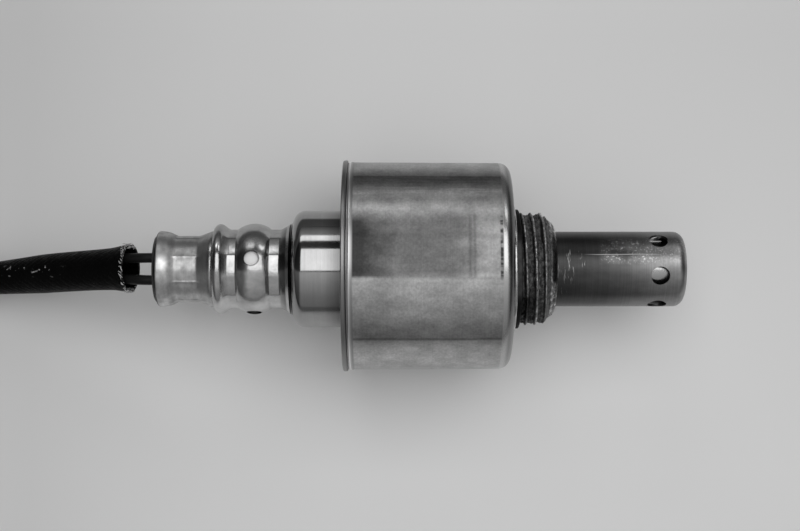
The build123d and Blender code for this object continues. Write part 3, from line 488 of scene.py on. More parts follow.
def heat_stained_steel():
    """The cup is stained by heat over its upper side; its front corner has painted light and shade instead,
    and painted light and shade lie in bands round it and at its mouth.
    """
    shield_clean = 0.4
    look = Look("heat_stained_steel", shield_clean, 1.0, 0.33)
    along_cup = look.axis("X")
    cup_turn = look.turn()
    cup_mottle = look.noise((120, 170, 170), detail=6, rough=0.62)
    cup_blots = look.noise((420, 520, 520), detail=4, rough=0.6)
    cup_grain = look.noise((2600, 2600, 2600), detail=3, rough=0.6)
    cup_streaks = look.noise((110, 1500, 1500), detail=3)
    brushing = look.noise((7000, 70, 70), detail=4)
    cup_wander = look.math("MULTIPLY_ADD", cup_mottle, 1.8, -0.9)
    # Tones by the turn round the cup: heat stain over the upper side, with painted highlights and painted
    # shade in bands, among them a painted floor reflection far round towards -Y.
    stain_and_light_bands = look.tones(
        look.math("ADD", cup_turn, cup_wander),
        [
            (-75, 1.05), (-48, 1.1), (-42.4, 1.0), (-41.9, 0.55), (-40.9, 0.5), (-40.0, 0.78),
            (-33, 0.88), (-24, 1.1), (-5.6, 1.08), (-3.9, 0.72), (-1, 0.44), (7, 0.31),
            (18, 0.34), (28, 0.86), (33, 1.2), (39, 0.92), (45, 1.45), (50, 0.8), (57.6, 0.4),
            (58.4, 0.8), (75, 0.98),
        ],
    )
    upper_side = look.window(cup_turn, -4.7, -3.2, 25, 34)
    along_wander = look.math("SUBTRACT", along_cup, 0.0025)
    along_wander = look.math("MULTIPLY_ADD", cup_mottle, 0.005, along_wander)
    scorch = look.tones(
        along_wander,
        [
            (-0.0262, 0.24), (-0.0243, 0.26), (-0.0222, 0.6), (-0.0198, 0.9), (-0.016, 0.78),
            (-0.0102, 0.92), (-0.0082, 1.35), (-0.006, 1.75), (-0.0045, 1.65),
        ],
    )
    ring_stain = look.tones(
        along_cup, [(-0.0088, 1), (-0.0084, 0.66), (-0.008, 0.9), (-0.0077, 0.72), (-0.0073, 1)]
    )
    scorched = look.between(upper_side, 1.0, scorch)
    streaked = look.between(
        look.window(cup_turn, 38, 46, 56.6, 57.8),
        1.0,
        look.spread(cup_streaks, 0.35, 0.65, 0.84, 1.16),
    )
    mottled = look.product(
        look.spread(cup_mottle, 0.3, 0.7, 0.76, 1.24),
        look.spread(cup_blots, 0.3, 0.7, 0.84, 1.16),
        look.spread(cup_grain, 0.35, 0.65, 0.88, 1.12),
        look.spread(brushing, 0.3, 0.7, 0.95, 1.05),
        look.between(upper_side, 1.0, ring_stain),
    )
    dashes = look.spread(look.noise((300, 1500, 1500), detail=2), 0.42, 0.56, 0.15, 0.85)
    seam = look.math(
        "SUBTRACT",
        1.0,
        look.product(
            look.window(along_cup, -0.00395, -0.00378, -0.0035, -0.00335),
            look.window(cup_turn, -6, -3, 28, 33),
            dashes,
        ),
    )
    corner_start = look.spread(along_cup, -0.00345, -0.00325)
    # Painted highlight and shade on the front corner: a lighter band where it starts, then darker over its
    # curve.
    corner_light_and_shade = look.between(
        look.spread(along_cup, -0.00282, -0.0023),
        1.2,
        look.spread(cup_turn, -35, -18, 0.62, 0.36),
    )
    # The mouth: a painted highlight on the swelling beside the lip, with painted shade in the groove
    # between them and on the lip.
    near_mouth = look.spread(along_cup, -0.0259, -0.02615)
    mouth_light_and_shade = look.tones(
        along_cup,
        [
            (-0.0278, 0.65), (-0.0272, 0.55), (-0.02705, 0.15), (-0.02692, 0.15),
            (-0.02685, 2.4), (-0.0266, 2.2), (-0.02645, 1.2), (-0.0262, 0.75), (-0.026, 0.65),
        ],
    )
    cup_tone = look.between(
        corner_start, look.product(stain_and_light_bands, scorched, streaked, mottled, seam), corner_light_and_shade
    )
    cup_tone = look.between(near_mouth, cup_tone, mouth_light_and_shade)
    look.set("Base Color", look.grey(look.product(cup_tone, shield_clean)))
    look.set("Roughness", look.between(corner_start, 0.36, 0.26))
    look.bump(brushing, 0.000004)
    look.bump(cup_blots, 0.00001)
    return look


def pasted_thread():
    """The thread's grooves are full of dark paste, and only the crests are worn bright; painted shade lies
    in a hollow of the paste and at the nose's end.
    """
    look = Look("pasted_thread", 0.1, 0.3, 0.5)
    along_thread = look.axis("X")
    thread_turn = look.turn()
    from_axis = look.radius()
    paste = look.noise((1100, 1100, 1100), detail=6, rough=0.7)
    grit = look.noise((1900, 1900, 1900), detail=4, rough=0.6)
    wear = look.noise((260, 260, 260), detail=3)
    streaks_round = look.noise((3200, 110, 110), detail=3, rough=0.6)
    # Painted shade: a hollow in the paste, on the side towards -Y near the thread's start, painted nearly
    # black.
    hollow_shade = look.product(
        look.spread(thread_turn, -20, -32),
        look.spread(along_thread, 0.0026, 0.0018),
        look.spread(wear, 0.44, 0.52),
    )
    worn_crest = look.product(
        look.spread(from_axis, 0.00872, 0.0089),
        look.spread(paste, 0.38, 0.52, 0.5, 1.0),
        look.spread(wear, 0.42, 0.56, 0.2, 1.1),
    )
    nose = look.spread(along_thread, 0.0036, 0.0041)
    scraped_nose = look.product(
        nose,
        look.spread(from_axis, 0.00795, 0.0076),
        look.spread(paste, 0.42, 0.62, 0.2, 1.1),
    )
    bare = look.most(worn_crest, scraped_nose)
    # The phase goes from 0 at one crest to 1 at the next. Whole pitches keep it above 0.
    whole_pitches = 10
    crest_phase = whole_pitches - first_crest / pitch - 0.25
    thread_phase = look.math("MULTIPLY_ADD", along_thread, 1 / (MM * pitch), crest_phase)
    thread_phase = look.math("MULTIPLY_ADD", thread_turn, 1 / 360, thread_phase)
    thread_phase = look.math("FRACT", thread_phase)
    groove = look.tones(
        look.math("ADD", thread_phase, look.math("MULTIPLY_ADD", wear, 0.3, -0.15)),
        [(0.0, 1.0), (0.66, 1.0), (0.76, 0.14), (0.85, 0.14), (0.92, 0.9), (1.0, 1.0)],
    )
    shaded_end = look.product(
        look.spread(along_thread, 0.0046, 0.0049), look.window(thread_turn, -22, -14, 40, 52)
    )
    thread_tone = look.product(
        look.spread(bare, 0.0, 1.0, 0.055, 0.45),
        look.between(nose, groove, 1.0),
        look.spread(grit, 0.35, 0.65, 0.35, 1.7),
        look.spread(paste, 0.35, 0.65, 0.6, 1.5),
        look.spread(streaks_round, 0.35, 0.65, 0.55, 1.6),
        look.between(hollow_shade, 1.0, 0.1),
        look.between(shaded_end, 1.0, 0.06),
    )
    look.set("Base Color", look.grey(thread_tone))
    look.set("Metallic", look.spread(bare, 0.2, 0.7, 0.0, 1))
    look.set("Roughness", look.spread(bare, 0.0, 1.0, 0.42, 0.3))
    look.set("Specular IOR Level", 0.35)
    look.bump(paste, 0.0003)
    look.bump(grit, 0.00006)
    return look


def gasket_steel():
    """The gasket is bare at its rim, and its dull step is painted dark as shade, darkest towards its sides.
    """
    look = Look("gasket_steel", 0.5, 1.0, 0.22)
    gasket_grain = look.noise((900, 900, 900), detail=4)
    gasket_bare = look.spread(look.radius(), 0.0097, 0.0099)
    # Painted shade: the step is painted dark, darker towards the sides.
    gasket_step_shade = look.tones(look.turn(), [(-34, 0.04), (-22, 0.2), (22, 0.2), (38, 0.04)])
    gasket_tone = look.product(
        look.spread(gasket_grain, 0.3, 0.7, 0.3, 0.55), look.between(gasket_bare, gasket_step_shade, 1.0)
    )
    look.set("Base Color", look.grey(gasket_tone))
    look.set("Roughness", look.between(gasket_bare, 0.7, 0.22))
    look.bump(gasket_grain, 0.00002)
    return look


def heat_darkened_tube():
    """The outer tube is darkest at its root, with a scratch along it and pale specks near its end,
    and its side towards -Y is painted lighter.
    """
    look = Look("heat_darkened_tube", 0.1, 1.0, 0.34)
    along_tube = look.axis("X")
    tube_turn = look.turn()
    tube_rings = look.noise((9000, 60, 60), detail=4)
    tube_cloud = look.noise((160, 300, 300), detail=5, rough=0.6)
    darkening = look.tones(
        along_tube, [(0.005, 0.04), (0.012, 0.055), (0.017, 0.1), (0.0215, 0.17), (0.0265, 0.2)]
    )
    tube_tone = look.product(
        darkening,
        look.spread(tube_rings, 0.3, 0.7, 0.86, 1.14),
        look.spread(tube_cloud, 0.3, 0.7, 0.75, 1.25),
        # Painted light: the side towards -Y is painted lighter.
        look.spread(tube_turn, 0, -14, 1, 1.4),
    )
    wobble = look.noise((120, 10, 10), detail=1)
    scratch_turn = look.math("MULTIPLY_ADD", wobble, 2.0, tube_turn)
    scratch = look.product(
        look.window(scratch_turn, 22.9, 23.7, 23.9, 24.7),
        look.window(along_tube, 0.0098, 0.0128, 0.0205, 0.0226),
    )
    specks = look.noise((2900, 2900, 2900), detail=3, rough=0.6)
    haze = look.noise((330, 420, 420), detail=5, rough=0.7)
    hazed = look.product(
        look.spread(along_tube, 0.012, 0.0145),
        look.window(tube_turn, 6, 18, 46, 56),
        look.spread(haze, 0.38, 0.58),
    )
    pale_specks = look.product(hazed, look.spread(specks, 0.53, 0.64))
    pale_end = look.product(
        look.spread(along_tube, 0.0205, 0.0245),
        look.window(tube_turn, 2, 14, 36, 50),
        look.spread(specks, 0.3, 0.7, 0.1, 0.5),
    )
    scuffs = look.noise((1500, 260, 260), detail=3, rough=0.6)
    scuffed = look.product(
        look.spread(scuffs, 0.58, 0.66),
        look.window(along_tube, 0.0055, 0.0062, 0.0098, 0.0108),
        look.window(tube_turn, -42, -32, 24, 32),
        0.5,
    )
    marks = look.most(
        look.product(scratch, 0.9), pale_specks, look.product(hazed, 0.2), pale_end, scuffed
    )
    look.set("Base Color", look.grey(look.between(marks, tube_tone, 0.6)))
    look.bump(tube_rings, 0.000002)
    return look


def coated_braid():
    """Black braid under a glossy coat: strands cross over and under, and the cut edge is bare.
    The map goes from 0 to 1 round the sleeve and in millimetres along it.
    """
    look = Look(
        "coated_braid", 0.002, 0.0, 0.5, Specular_IOR_Level=0.05, Sheen_Weight=0.08, Sheen_Roughness=0.3
    )
    chart = look.node("SeparateXYZ", Vector=look.node("UVMap").outputs["UV"])
    strands_round = 16
    strand_step = 1.3
    round_share = look.math("MULTIPLY", chart.outputs["X"], strands_round * math.pi)
    along_share = look.math("MULTIPLY", chart.outputs["Y"], math.pi / strand_step)
    one_way = look.math("SINE", look.math("ADD", round_share, along_share))
    other_way = look.math("SINE", look.math("SUBTRACT", round_share, along_share))
    over = look.spread(look.math("MULTIPLY", one_way, other_way), -0.25, 0.25)
    crossing = look.between(over, look.math("ABSOLUTE", one_way), look.math("ABSOLUTE", other_way))
    coat = look.noise((700, 700, 700), detail=4, rough=0.6)
    bare_edge = look.product(
        look.spread(chart.outputs["Y"], 0.3, 0.1), look.spread(coat, 0.45, 0.6), 0.06
    )
    # Painted highlights: pale specks of light on the braid's top, just behind its mouth.
    glint_highlights = look.product(
        look.spread(look.noise((900, 1300, 1300), detail=2), 0.62, 0.7),
        look.window(look.axis("X"), -0.085, -0.083, -0.0745, -0.0725),
        look.window(look.axis("Y"), -0.0014, -0.001, 0.0002, 0.0006),
        0.4,
    )
    braid_tone = look.math("ADD", look.most(bare_edge, glint_highlights), 0.002)
    look.set("Base Color", look.grey(braid_tone))
    look.set("Roughness", look.spread(coat, 0.35, 0.65, 0.4, 0.6))
    look.bump(crossing, 0.00004)
    look.bump(coat, 0.00015)
    return look


def bare_glass_fibre():
    """Bare glass fibre, in strands of slightly different greys."""
    look = Look("bare_glass_fibre", 0.55, 0.0, 0.6)
    fibre_tone = look.spread(look.noise((900, 900, 900)), 0.35, 0.65, 0.3, 0.75)
    look.set("Base Color", look.grey(fibre_tone))
    return look


casing_look = drawn_steel()
pressed_look = pressed_steel()
shield_look = heat_stained_steel()
thread_look = pasted_thread()
gasket_look = gasket_steel()
tube_look = heat_darkened_tube()
sleeve_look = coated_braid()
fray_look = bare_glass_fibre()

# The smaller parts have one colour each, most of them with fine grain.
inner_look = grained_look("bright_inner_tube", 0.4, 1.0, 0.2, (3000, 120, 120), 0.000004)
rubber_look = grained_look("grommet_rubber", 0.02, 0.0, 0.5, (4000, 4000, 4000), 0.00002)
wire_look = grained_look(
    "lead_covering", 0.005, 0.0, 0.42, (500, 2500, 2500), 0.00004, detail=4, Specular_IOR_Level=0.2
)
membrane_look = grained_look("white_membrane", 0.97, 0.0, 0.5, (5000, 5000, 5000), 0.00001)
plastic_look = grained_look("connector_plastic", 0.03, 0.0, 0.45, (6000, 6000, 6000), 0.00002)
seal_look = Look("seal_rubber", 0.25, 0.0, 0.5)
pin_look = Look("tinned_pin", 0.6, 1.0, 0.3)
tie_look = Look("tie_band", 0.02, 0.0, 0.4)

# -------------------------------------------------------------- threaded housing
crest_radius = 9.0
root_radius = 8.1
paste_radius = 8.52
thread_start, thread_end, nose_end = -0.05, 4.3, 5.65
crest_share, flank_share = 0.05, 0.29    # of the pitch, to each side of a crest's middle
nose_bore = 7.4
wear_depth = 0.1              # on the crests and the nose
lump_height = 0.3             # of the paste
hollow_depth = 1.1            # where paste is missing


def thread_radius_at(x, r, turn):
    """The right-hand thread, worn at its crests and nearly filled with lumpy paste."""
    if r < nose_bore or x < thread_start or x > nose_end:
        return r
    around = Vector((0.9 * x, 3.1 * math.cos(turn), 3.1 * math.sin(turn)))
    lumps = noise.noise(around * 1.7) + 0.8 * noise.noise(around * 4.3) + 0.5 * noise.noise(around * 9)
    if x > thread_end:
        return r - wear_depth + wear_depth * lumps
    hollow = max(0.0, noise.noise(around * 1.3 + Vector((5, 2, 1))) - 0.05)
    phase = (x - first_crest - pitch * turn / (2 * math.pi)) / pitch
    away = abs(phase - round(phase))
    share = min(1.0, max(0.0, (away - crest_share) / flank_share))
    thread = crest_radius - wear_depth * abs(lumps) + (root_radius - crest_radius) * share
    paste = paste_radius + lump_height * lumps - hollow_depth * hollow
    return min(max(thread, paste), r)


housing_profile = refined(
    rounded(
        [
            (nose_end, 6.0), (nose_end, 6.7, 0.5), (5.2, 7.45, 0.6), (4.4, 8.1, 0.5), (3.6, 9.02),
            (0, 9.02), (0, 8.2), (-2.0, 8.2),
        ]
    ),
    0.07,
)
thread = lathe("threaded_nose", housing_profile, thread_look.material, 400, radius_at=thread_radius_at)
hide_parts("housing")

hex_front, hex_back = -2.6, -10.6
hex_reach = 11.0              # half the width across flats
hex_corner = 12.0             # the flats and the cones cut this down
hex_face = 10.8               # the radius of its round ends
hex_inside = 10.5             # the profile is round below this
cone_start = 10.9
cone_rise = 1.73              # for each millimetre along the axis


def hex_radius_at(x, r, turn):
    """Six flats with a corner at each side, chamfered by a cone at both ends."""
    if r < hex_inside:
        return r
    half_side = math.pi / 6
    from_flat = half_side - abs((turn + half_side) % (2 * half_side) - half_side)
    flat = hex_reach / math.cos(from_flat)
    end = min(x - hex_back, hex_front - x)
    cone = cone_start + end * cone_rise
    return min(flat, max(cone, hex_face))


hex_profile = refined(
    rounded(
        [
            (-2.05, 8.3), (-2.05, hex_reach), (hex_front, hex_reach), (hex_front, hex_corner),
            (hex_back, hex_corner), (hex_back, 9.0), (-17.2, 8.8, 0.5), (-17.2, 5.3),
        ]
    ),
    0.25,
)
hexagon = lathe("hexagon_body", hex_profile, casing_look.material, 240, radius_at=hex_radius_at)
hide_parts("housing")

gasket_profile = rounded(
    [
        (0, 9.05), (0, 9.5, 0.3), (-0.75, 9.5, 0.15), (-0.75, 10.35, 0.3), (-1.45, 10.35, 0.3),
        (-1.45, 9.05),
    ]
)
gasket = lathe("gasket_ring", gasket_profile, gasket_look.material, 256)
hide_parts("gasket")

# -------------------------------------------------------------------- heat shield
shield_profile = rounded(
    [
        (-1.5, 9.15), (-1.5, 16.375, 1.8), (-26.1, 16.49, 0.3), (-26.58, 16.6, 0.4),
        (-26.86, 16.4, 0.05), (-27.02, 16.4, 0.05), (-27.15, 16.8, 0.2), (-27.8, 16.8, 0.2),
        (-27.8, 16.05, 0.2), (-27.3, 16.0, 0.3), (-3.3, 15.875), (-2.0, 15.2, 0.5), (-2.0, 9.15),
    ],
    8,
)
shield = lathe("shield_cup", refined(shield_profile, 1.2), shield_look.material, 384, centre_y=0.5)
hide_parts("heat_shield")

# ---------------------------------------------------------------- protection tube
outer_tube_profile = refined(
    rounded(
        [
            (4.95, 5.96), (26.15, 5.96, 1.6), (26.15, 0.9, 0.1), (25.75, 0.9), (25.75, 5.56, 1.2),
            (4.95, 5.56),
        ],
        10,
    ),
    0.35,
)
outer_tube = lathe("outer_tube", outer_tube_profile, tube_look.material, 192)
cut_holes(outer_tube, 21.8, radius=1.475, first_turn=10.5, count=6)
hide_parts("outer_protection_tube")

# ------------------------------------------------------------------ rear casing
def behind(distance):
    """The place on the axis this far behind the casing's shoulder."""
    return shoulder - distance


crimp_near, crimp_far = 14.5, 17.95
crimp_lead = 0.5
crimp_radius = 5.27
burr_height = 0.08
burr_width = 0.035            # radians
casing_radius = 9.3
tail_radius = 6.07


def crimp_radius_at(x, r, turn):
    """Eight jaw marks pressed into the tail, with a thin ragged burr between two jaws."""
    back = shoulder - x
    end = min(back - (crimp_near - crimp_lead), crimp_far + crimp_lead - back) / crimp_lead
    if end <= 0:
        return r
    half_jaw = math.pi / 8
    away = abs((turn + half_jaw) % (2 * half_jaw) - half_jaw)
    ragged = 1 + 0.8 * noise.noise(Vector((5 * x, 9 * turn, 0)))
    burr = burr_height * ragged * math.exp(-((away - half_jaw) / burr_width) ** 2)
    return r + (min(crimp_radius + burr, r) - r) * min(1.0, end)


casing_outside = (
    [(hex_back, casing_radius), (-33.7, casing_radius)]
    + arc((-33.9, 9.29), (-34.95, 8.95), (-35.6, 8.1), 10)
    + [(behind(0), 6.6), (behind(0), 6.08), (behind(12.2), tail_radius), (behind(12.5), 6.05)]
    + [(behind(13.95), 5.5), (behind(18.4), 5.5)]
    + arc((behind(18.5), 5.52), (behind(19.45), 5.9), (behind(20.5), tail_radius), 10)
    + arc((behind(20.6), tail_radius), (behind(20.98), 5.95), (behind(21.15), 5.68), 8)
    + [(behind(21.15), 5.3), (behind(20.8), 5.25), (behind(20.0), 5.3)]
)
casing_bore = [(behind(19.0), 4.9), (behind(14.0), 4.9), (behind(12.5), 5.3)]
casing_bore += [(behind(2.0), 5.3), (behind(-1.0), 8.0), (behind(-2.5), 8.85), (hex_back, 8.85)]
casing_profile = refined(casing_outside, 0.22) + casing_bore
casing = lathe("rear_casing", casing_profile, casing_look.material, 384, radius_at=crimp_radius_at)
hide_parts("main_casing")

groove_jaws = 12
groove_jaw_turn = math.radians(10)
groove_places = ((1.6, 3.1), (8.4, 10.0))
groove_lead = 0.5
jaw_depth = 0.4
groove_radius = 6.34
sleeve_bore = 6.12
sleeve_inside = 6.2           # the jaws leave no marks below this


def sleeve_radius_at(x, r, turn):
    """The two grooves are pressed by jaws, which leave faint flats and ridges."""
    back = shoulder - x
    depth = 0.0
    for near, far in groove_places:
        lead = min((back - near + groove_lead) / groove_lead, (far + groove_lead - back) / groove_lead)
        depth = max(depth, min(1.0, lead))
    if depth <= 0 or r < sleeve_inside:
        return r
    half_jaw = math.pi / groove_jaws
    away = (turn - groove_jaw_turn + half_jaw) % (2 * half_jaw) - half_jaw
    flat = math.cos(half_jaw) / math.cos(half_jaw - abs(away))
    return r - depth * r * jaw_depth * (1 - flat)


sleeve_profile = (
    [(behind(0.05), 7.22), (behind(0.55), 6.84), (behind(1.5), groove_radius), (behind(3.0), groove_radius)]
    + arc((behind(3.1), groove_radius), (behind(5.75), 7.22), (behind(8.4), groove_radius), 24)
    + [(behind(9.5), groove_radius)]
    + arc((behind(10.5), 6.86), (behind(11.25), 7.16), (behind(12.0), 6.74), 10)
    + [(behind(12.2), sleeve_bore), (behind(11.8), sleeve_bore), (behind(11.3), 6.7), (behind(10.6), 6.5)]
    + [(behind(9.5), sleeve_bore), (behind(8.4), sleeve_bore)]
    + arc((behind(8.2), sleeve_bore), (behind(5.75), 6.85), (behind(3.3), sleeve_bore), 16)
    + [(behind(1.75), sleeve_bore), (behind(0.6), 6.5), (behind(0.05), 6.95)]
)
sleeve_profile = refined(sleeve_profile, 0.2)
filter_sleeve = lathe(
    "vented_sleeve", sleeve_profile, pressed_look.material, 288, radius_at=sleeve_radius_at
)
cut_holes(filter_sleeve, behind(vent_back), vent_radius, vent_turn, vent_count)
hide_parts("filter_sleeve")

# ----------------------------------------------------- the lead and its sleeve
cord_rest = -13.8             # the height of the cord's middle as it lies
cord_route = [
    (-62.0, 0.15, -0.8),
    (-72.0, -0.35, -4.9),
    (-82.0, -1.2, -9.9),
    (-93.0, -2.1, cord_rest),
    (-104.0, -2.1, cord_rest),
]


def add_turn(route, centre, radius, first, total, count):
    """Adds the points of a clockwise turn of the fold, seen from above."""
    step = total / count
    reach = radius / math.cos(math.radians(step / 2))
    for number in range(count):
        angle = math.radians(first - step * (number + 0.5))
        route.append((centre[0] + reach * math.cos(angle), centre[1] + reach * math.sin(angle), cord_rest))


add_turn(cord_route, (-165.0, 19.4), 21.5, -90, 180, 8)
add_turn(cord_route, (-113.0, 22.65), 18.25, 90, 198, 9)
cord_route.append((-125.3, 7.45, cord_rest))

spline_data = bpy.data.curves.new("sleeve_line", "CURVE")
spline_data.dimensions = "3D"
spline = spline_data.splines.new("NURBS")
spline.points.add(len(cord_route) - 1)
for point, spot in zip(spline.points, cord_route):
    point.co = (*[MM * c for c in spot], 1)
spline.order_u = 3
spline.use_endpoint_u = True
spline.resolution_u = 24
spline_object = bpy.data.objects.new("sleeve_line", spline_data)
bpy.context.scene.collection.objects.link(spline_object)
drawn_line = spline_object.evaluated_get(bpy.context.evaluated_depsgraph_get())
line_mesh = bpy.data.meshes.new_from_object(drawn_line)
sleeve_path = [tuple(c / MM for c in vertex.co) for vertex in line_mesh.vertices]
bpy.data.objects.remove(spline_object)


def sleeve_radius(along):
    """Half the sleeve's width, which flares at its cut mouth."""
    stations = ((0, 3.9), (1.2, 3.72), (3, 3.42), (6, 3.3), (17, 3.2), (26, 2.75), (40, 2.99))
    for (a, low), (b, high) in zip(stations, stations[1:]):
        if along <= b:
            return low + (high - low) * (along - a) / (b - a)
    return stations[-1][1]


# The mouth is cut nearly square to the sensor's axis, and the rings turn to the path behind it.
cut_heading = Vector((-1, 0, -0.21)).normalized()
cut_reach = 5.0
sleeve_wall = 0.35
mouth_depth = 9.0
sleeve_rings = []
for centre, heading, radius, walked in rings_along(sleeve_path, sleeve_radius):
    heading = heading.lerp(cut_heading, max(0.0, 1 - walked / cut_reach)).normalized()
    sleeve_rings.append((centre, heading, radius, walked))
inside = [
    (centre, heading, radius - sleeve_wall, walked)
    for centre, heading, radius, walked in sleeve_rings
    if walked < mouth_depth
]
sleeve = tube_along("braided_lead_sleeve", inside[::-1] + sleeve_rings, sleeve_look.material, 48)
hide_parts("braided_sleeve", "sleeve_hank")

# Cut strands of bare glass fibre stand round the mouth, in a clump at each of its two sides.
edge_count = 60
clump_count = 70
fibre_sides = 5


def add_fibre(points, faces, foot, tip, outwards, width):
    """A thin fibre of three rings, thickest at its middle."""
    base = len(points)
    across = (tip - foot).cross(outwards).normalized()
    over_it = (tip - foot).cross(across).normalized()
    for end, thick in ((foot, width * 0.6), (foot.lerp(tip, 0.5), width), (tip, width * 0.4)):
        for corner in range(fibre_sides):
            angle = 2 * math.pi * corner / fibre_sides
            points.append(tuple(end + (across * math.cos(angle) + over_it * math.sin(angle)) * thick))
    for ring in (base, base + fibre_sides):
        for corner in range(fibre_sides):
            here, beside = ring + corner, ring + (corner + 1) % fibre_sides
            faces.append((here, beside, beside + fibre_sides, here + fibre_sides))
    faces.append([base + corner for corner in range(fibre_sides)])
    faces.append([base + 2 * fibre_sides + corner for corner in range(fibre_sides)])


mouth_centre, mouth_heading, mouth_radius, _ = sleeve_rings[0]
mouth_aside = mouth_heading.cross(Vector((0, 0, 1))).normalized()
mouth_above = mouth_aside.cross(mouth_heading)
strands = [(math.pi * (n + 0.5) / edge_count, 0.75, 0.25) for n in range(edge_count)]
for side in (0, math.pi):
    strands += [(side + chance.gauss(0, 0.2), chance.choice((-1, 1)), 1.0) for _ in range(clump_count)]
fibre_points, fibre_faces = [], []
for turn, slant, looseness in strands:
    outwards = mouth_aside * math.cos(turn) + mouth_above * math.sin(turn)
    round_it = mouth_heading.cross(outwards)
    foot = mouth_centre + outwards * (mouth_radius + chance.uniform(-0.6, 0.05) * looseness)
    foot += mouth_heading * chance.uniform(-0.4, 0.9) * looseness
    lean = round_it * slant * chance.uniform(0.5, 1.0) + outwards * chance.uniform(-0.25, 0.1)
    reach = chance.uniform(0.45, 0.7)
    tip = foot + (lean + mouth_heading * chance.uniform(0.2, 0.8)).normalized() * reach
    add_fibre(fibre_points, fibre_faces, foot, tip, outwards, chance.uniform(0.05, 0.09))
fray_mesh = solid_mesh("frayed_braid_ends", fibre_points, fibre_faces)
fray = add_object("frayed_braid_ends", fray_mesh, fray_look.material)

# Four leads run from the grommet into the sleeve's mouth, and bend down with it.
lead_radius = 0.775
lead_offset = 1.77
lead_slant = 0.38             # along the axis, for each millimetre a lead lies higher
lead_gathering = 0.06         # of its offset, for each millimetre inside the sleeve


def lead_corners(y, z):
    """The points that a lead turns at, from the grommet to inside the sleeve."""
    corners = [(-54.0, y, z), (-57.5, y, z), (-60.0, y, z - 0.05)]
    for back in (1.5, 3.5, 6.0, 8.5):
        centre = min(sleeve_rings, key=lambda ring: abs(ring[3] - back))[0]
        share = 1 - lead_gathering * back
        corner = (centre.x - lead_slant * z * share, centre.y + y * share, centre.z + z * share)
        corners.append(corner)
    return corners


def curved(corners, steps=4):
    """Points of a smooth curve that bends past each corner."""
    points = []
    for first, here, after in zip(corners, corners[1:], corners[2:]):
        for step in range(steps):
            share = step / steps
            a = Vector(first).lerp(Vector(here), 0.5 + share / 2)
            b = Vector(here).lerp(Vector(after), share / 2)
            points.append(tuple(a.lerp(b, share)))
    return points


leads = []
for number, (side, up) in enumerate(((1, 1), (-1, 1), (-1, -1), (1, -1)), 1):
    lead_path = curved(lead_corners(side * lead_offset, up * lead_offset))
    lead_rings = rings_along(lead_path, lambda walked: lead_radius)
    lead = tube_along(f"lead_{number}", lead_rings, wire_look.material)
    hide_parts(f"lead_wire_{number}")
    leads.append(lead)

connector = ["connector_housing", "wire_seal", "pin_retainer", "cord_tie"]
for number in range(1, 5):
    connector += [f"connector_pin_{number}", f"connector_wire_{number}"]

# ------------------------------------------------- CAD nodes that stay as they are
node_looks = {
    "inner_protection_tube": inner_look,
    "vent_membrane": membrane_look,
    "grommet": rubber_look,
    "connector_housing": plastic_look,
    "wire_seal": seal_look,
    "pin_retainer": seal_look,
    "cord_tie": tie_look,
}
for number in range(1, 5):
    node_looks[f"connector_wire_{number}"] = wire_look
    node_looks[f"connector_pin_{number}"] = pin_look
for name, look in node_looks.items():
    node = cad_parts[name]
    for place in node.material_slots:
        place.material = look.material

# ------------------------------------------------------------- floor and lights
floor_z = -16.8
floor_half = 2000
floor_corners = [(x * floor_half, y * floor_half, floor_z) for x, y in ((-1, -1), (1, -1), (1, 1), (-1, 1))]
floor_look = Look("floor", 0.8, 0.0, 0.9)
light_path = floor_look.node("LightPath")
floor_y = floor_look.axis("Y")
# Painted light falloff: the floor is painted darker towards +Y, towards -X and a little towards +X.
across_floor = floor_look.tones(floor_y, [(-0.035, 0.94), (0.04, 0.79)])
along_floor = floor_look.tones(
    floor_look.axis("X"),
    [(-0.082, 0.84), (-0.067, 0.91), (-0.05, 0.97), (-0.03, 1.0), (0.0, 1.0), (0.05, 0.93)],
)
# In reflections only, the floor beyond 5 cm towards +Y is painted dark: a painted reflection of the dark
# room beyond the table, which bright metal shows.
beyond = floor_look.product(light_path.outputs["Is Glossy Ray"], floor_look.spread(floor_y, 0.046, 0.054))
floor_tone = floor_look.product(across_floor, along_floor)
floor_look.set("Base Color", floor_look.grey(floor_look.between(beyond, floor_tone, 0.12)))
floor = add_object("floor", plain_mesh("floor", floor_corners, [(0, 1, 2, 3)]), floor_look.material)

panel_radiance = 2.0


def add_panel(name, size, place, tilt=0.0):
    """A flat rectangular light that shines down, or tilted back towards -Y."""
    light = bpy.data.lights.new(name, "AREA")
    light.shape = "RECTANGLE"
    light.size, light.size_y = size
    light.energy = panel_radiance * math.pi * light.size * light.size_y
    panel = bpy.data.objects.new(name, light)
    panel.location = place
    panel.rotation_euler = (-tilt, 0, 0)
    bpy.context.scene.collection.objects.link(panel)


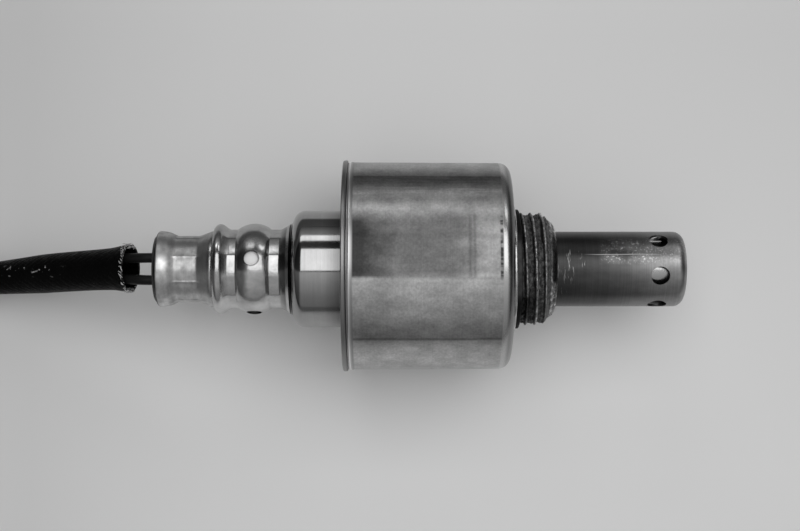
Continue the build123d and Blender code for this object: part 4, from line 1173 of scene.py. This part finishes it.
# A window-like panel from straight above to 40 degrees towards +Y, and two strips beyond it.
add_panel("overhead", (0.74, 0.53), (0.13, 0.235, 0.6))
strip_size = (0.36, 0.17)
strip_tilt = math.radians(63)
strip_distance = 0.8
for name, middle in (("strip_left", -0.18), ("strip_right", 0.41)):
    strip_place = (middle, strip_distance * math.sin(strip_tilt), strip_distance * math.cos(strip_tilt))
    add_panel(name, strip_size, strip_place, strip_tilt)


def light_room(round_axis, along_axis):
    """The room's tones by degrees round the axis from the top, times those from -X to +X."""
    world = bpy.data.worlds.new("room")
    bpy.context.scene.world = world
    world.use_nodes = True
    tree = world.node_tree
    split = add_node(tree, "SeparateXYZ", Vector=add_node(tree, "TexCoord").outputs["Generated"])
    lean = add_math(tree, "ARCTAN2", split.outputs["Y"], split.outputs["Z"])
    both = add_node(tree, "Mix")
    both.data_type = "RGBA"
    both.blend_type = "MULTIPLY"
    feed(tree, both.inputs["Factor"], 1)
    feed(tree, both.inputs["A"], add_ramp(tree, add_math(tree, "DEGREES", lean), round_axis, -180, 180))
    feed(tree, both.inputs["B"], add_ramp(tree, split.outputs["X"], along_axis, -1, 1))
    feed(tree, tree.nodes["Background"].inputs["Color"], both.outputs["Result"])


light_room(
    (
        (-95, 0.25), (-89, 0.16), (-81, 0.16), (-79, 0.27), (-54, 0.35), (-29, 0.53),
        (-6, 0.77), (-4.5, 0.12), (-1, 0.12), (57, 0.04), (69, 0.4), (77, 0.36), (88, 0.18),
        (100, 0.12),
    ),
    ((-0.6, 0.3), (-0.34, 1), (0.74, 1), (0.9, 0.3)),
)

# ------------------------------------------------------------------- the pieces join one body
slots = {
    thread: "housing",
    hexagon: "housing",
    fray: "braided_sleeve",
    gasket: "gasket",
    shield: "heat_shield",
    outer_tube: "outer_protection_tube",
    casing: "main_casing",
    filter_sleeve: "filter_sleeve",
    sleeve: "braided_sleeve",
}
for number, lead in enumerate(leads, 1):
    slots[lead] = f"lead_wire_{number}"
for piece, name in slots.items():
    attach(piece, "root")
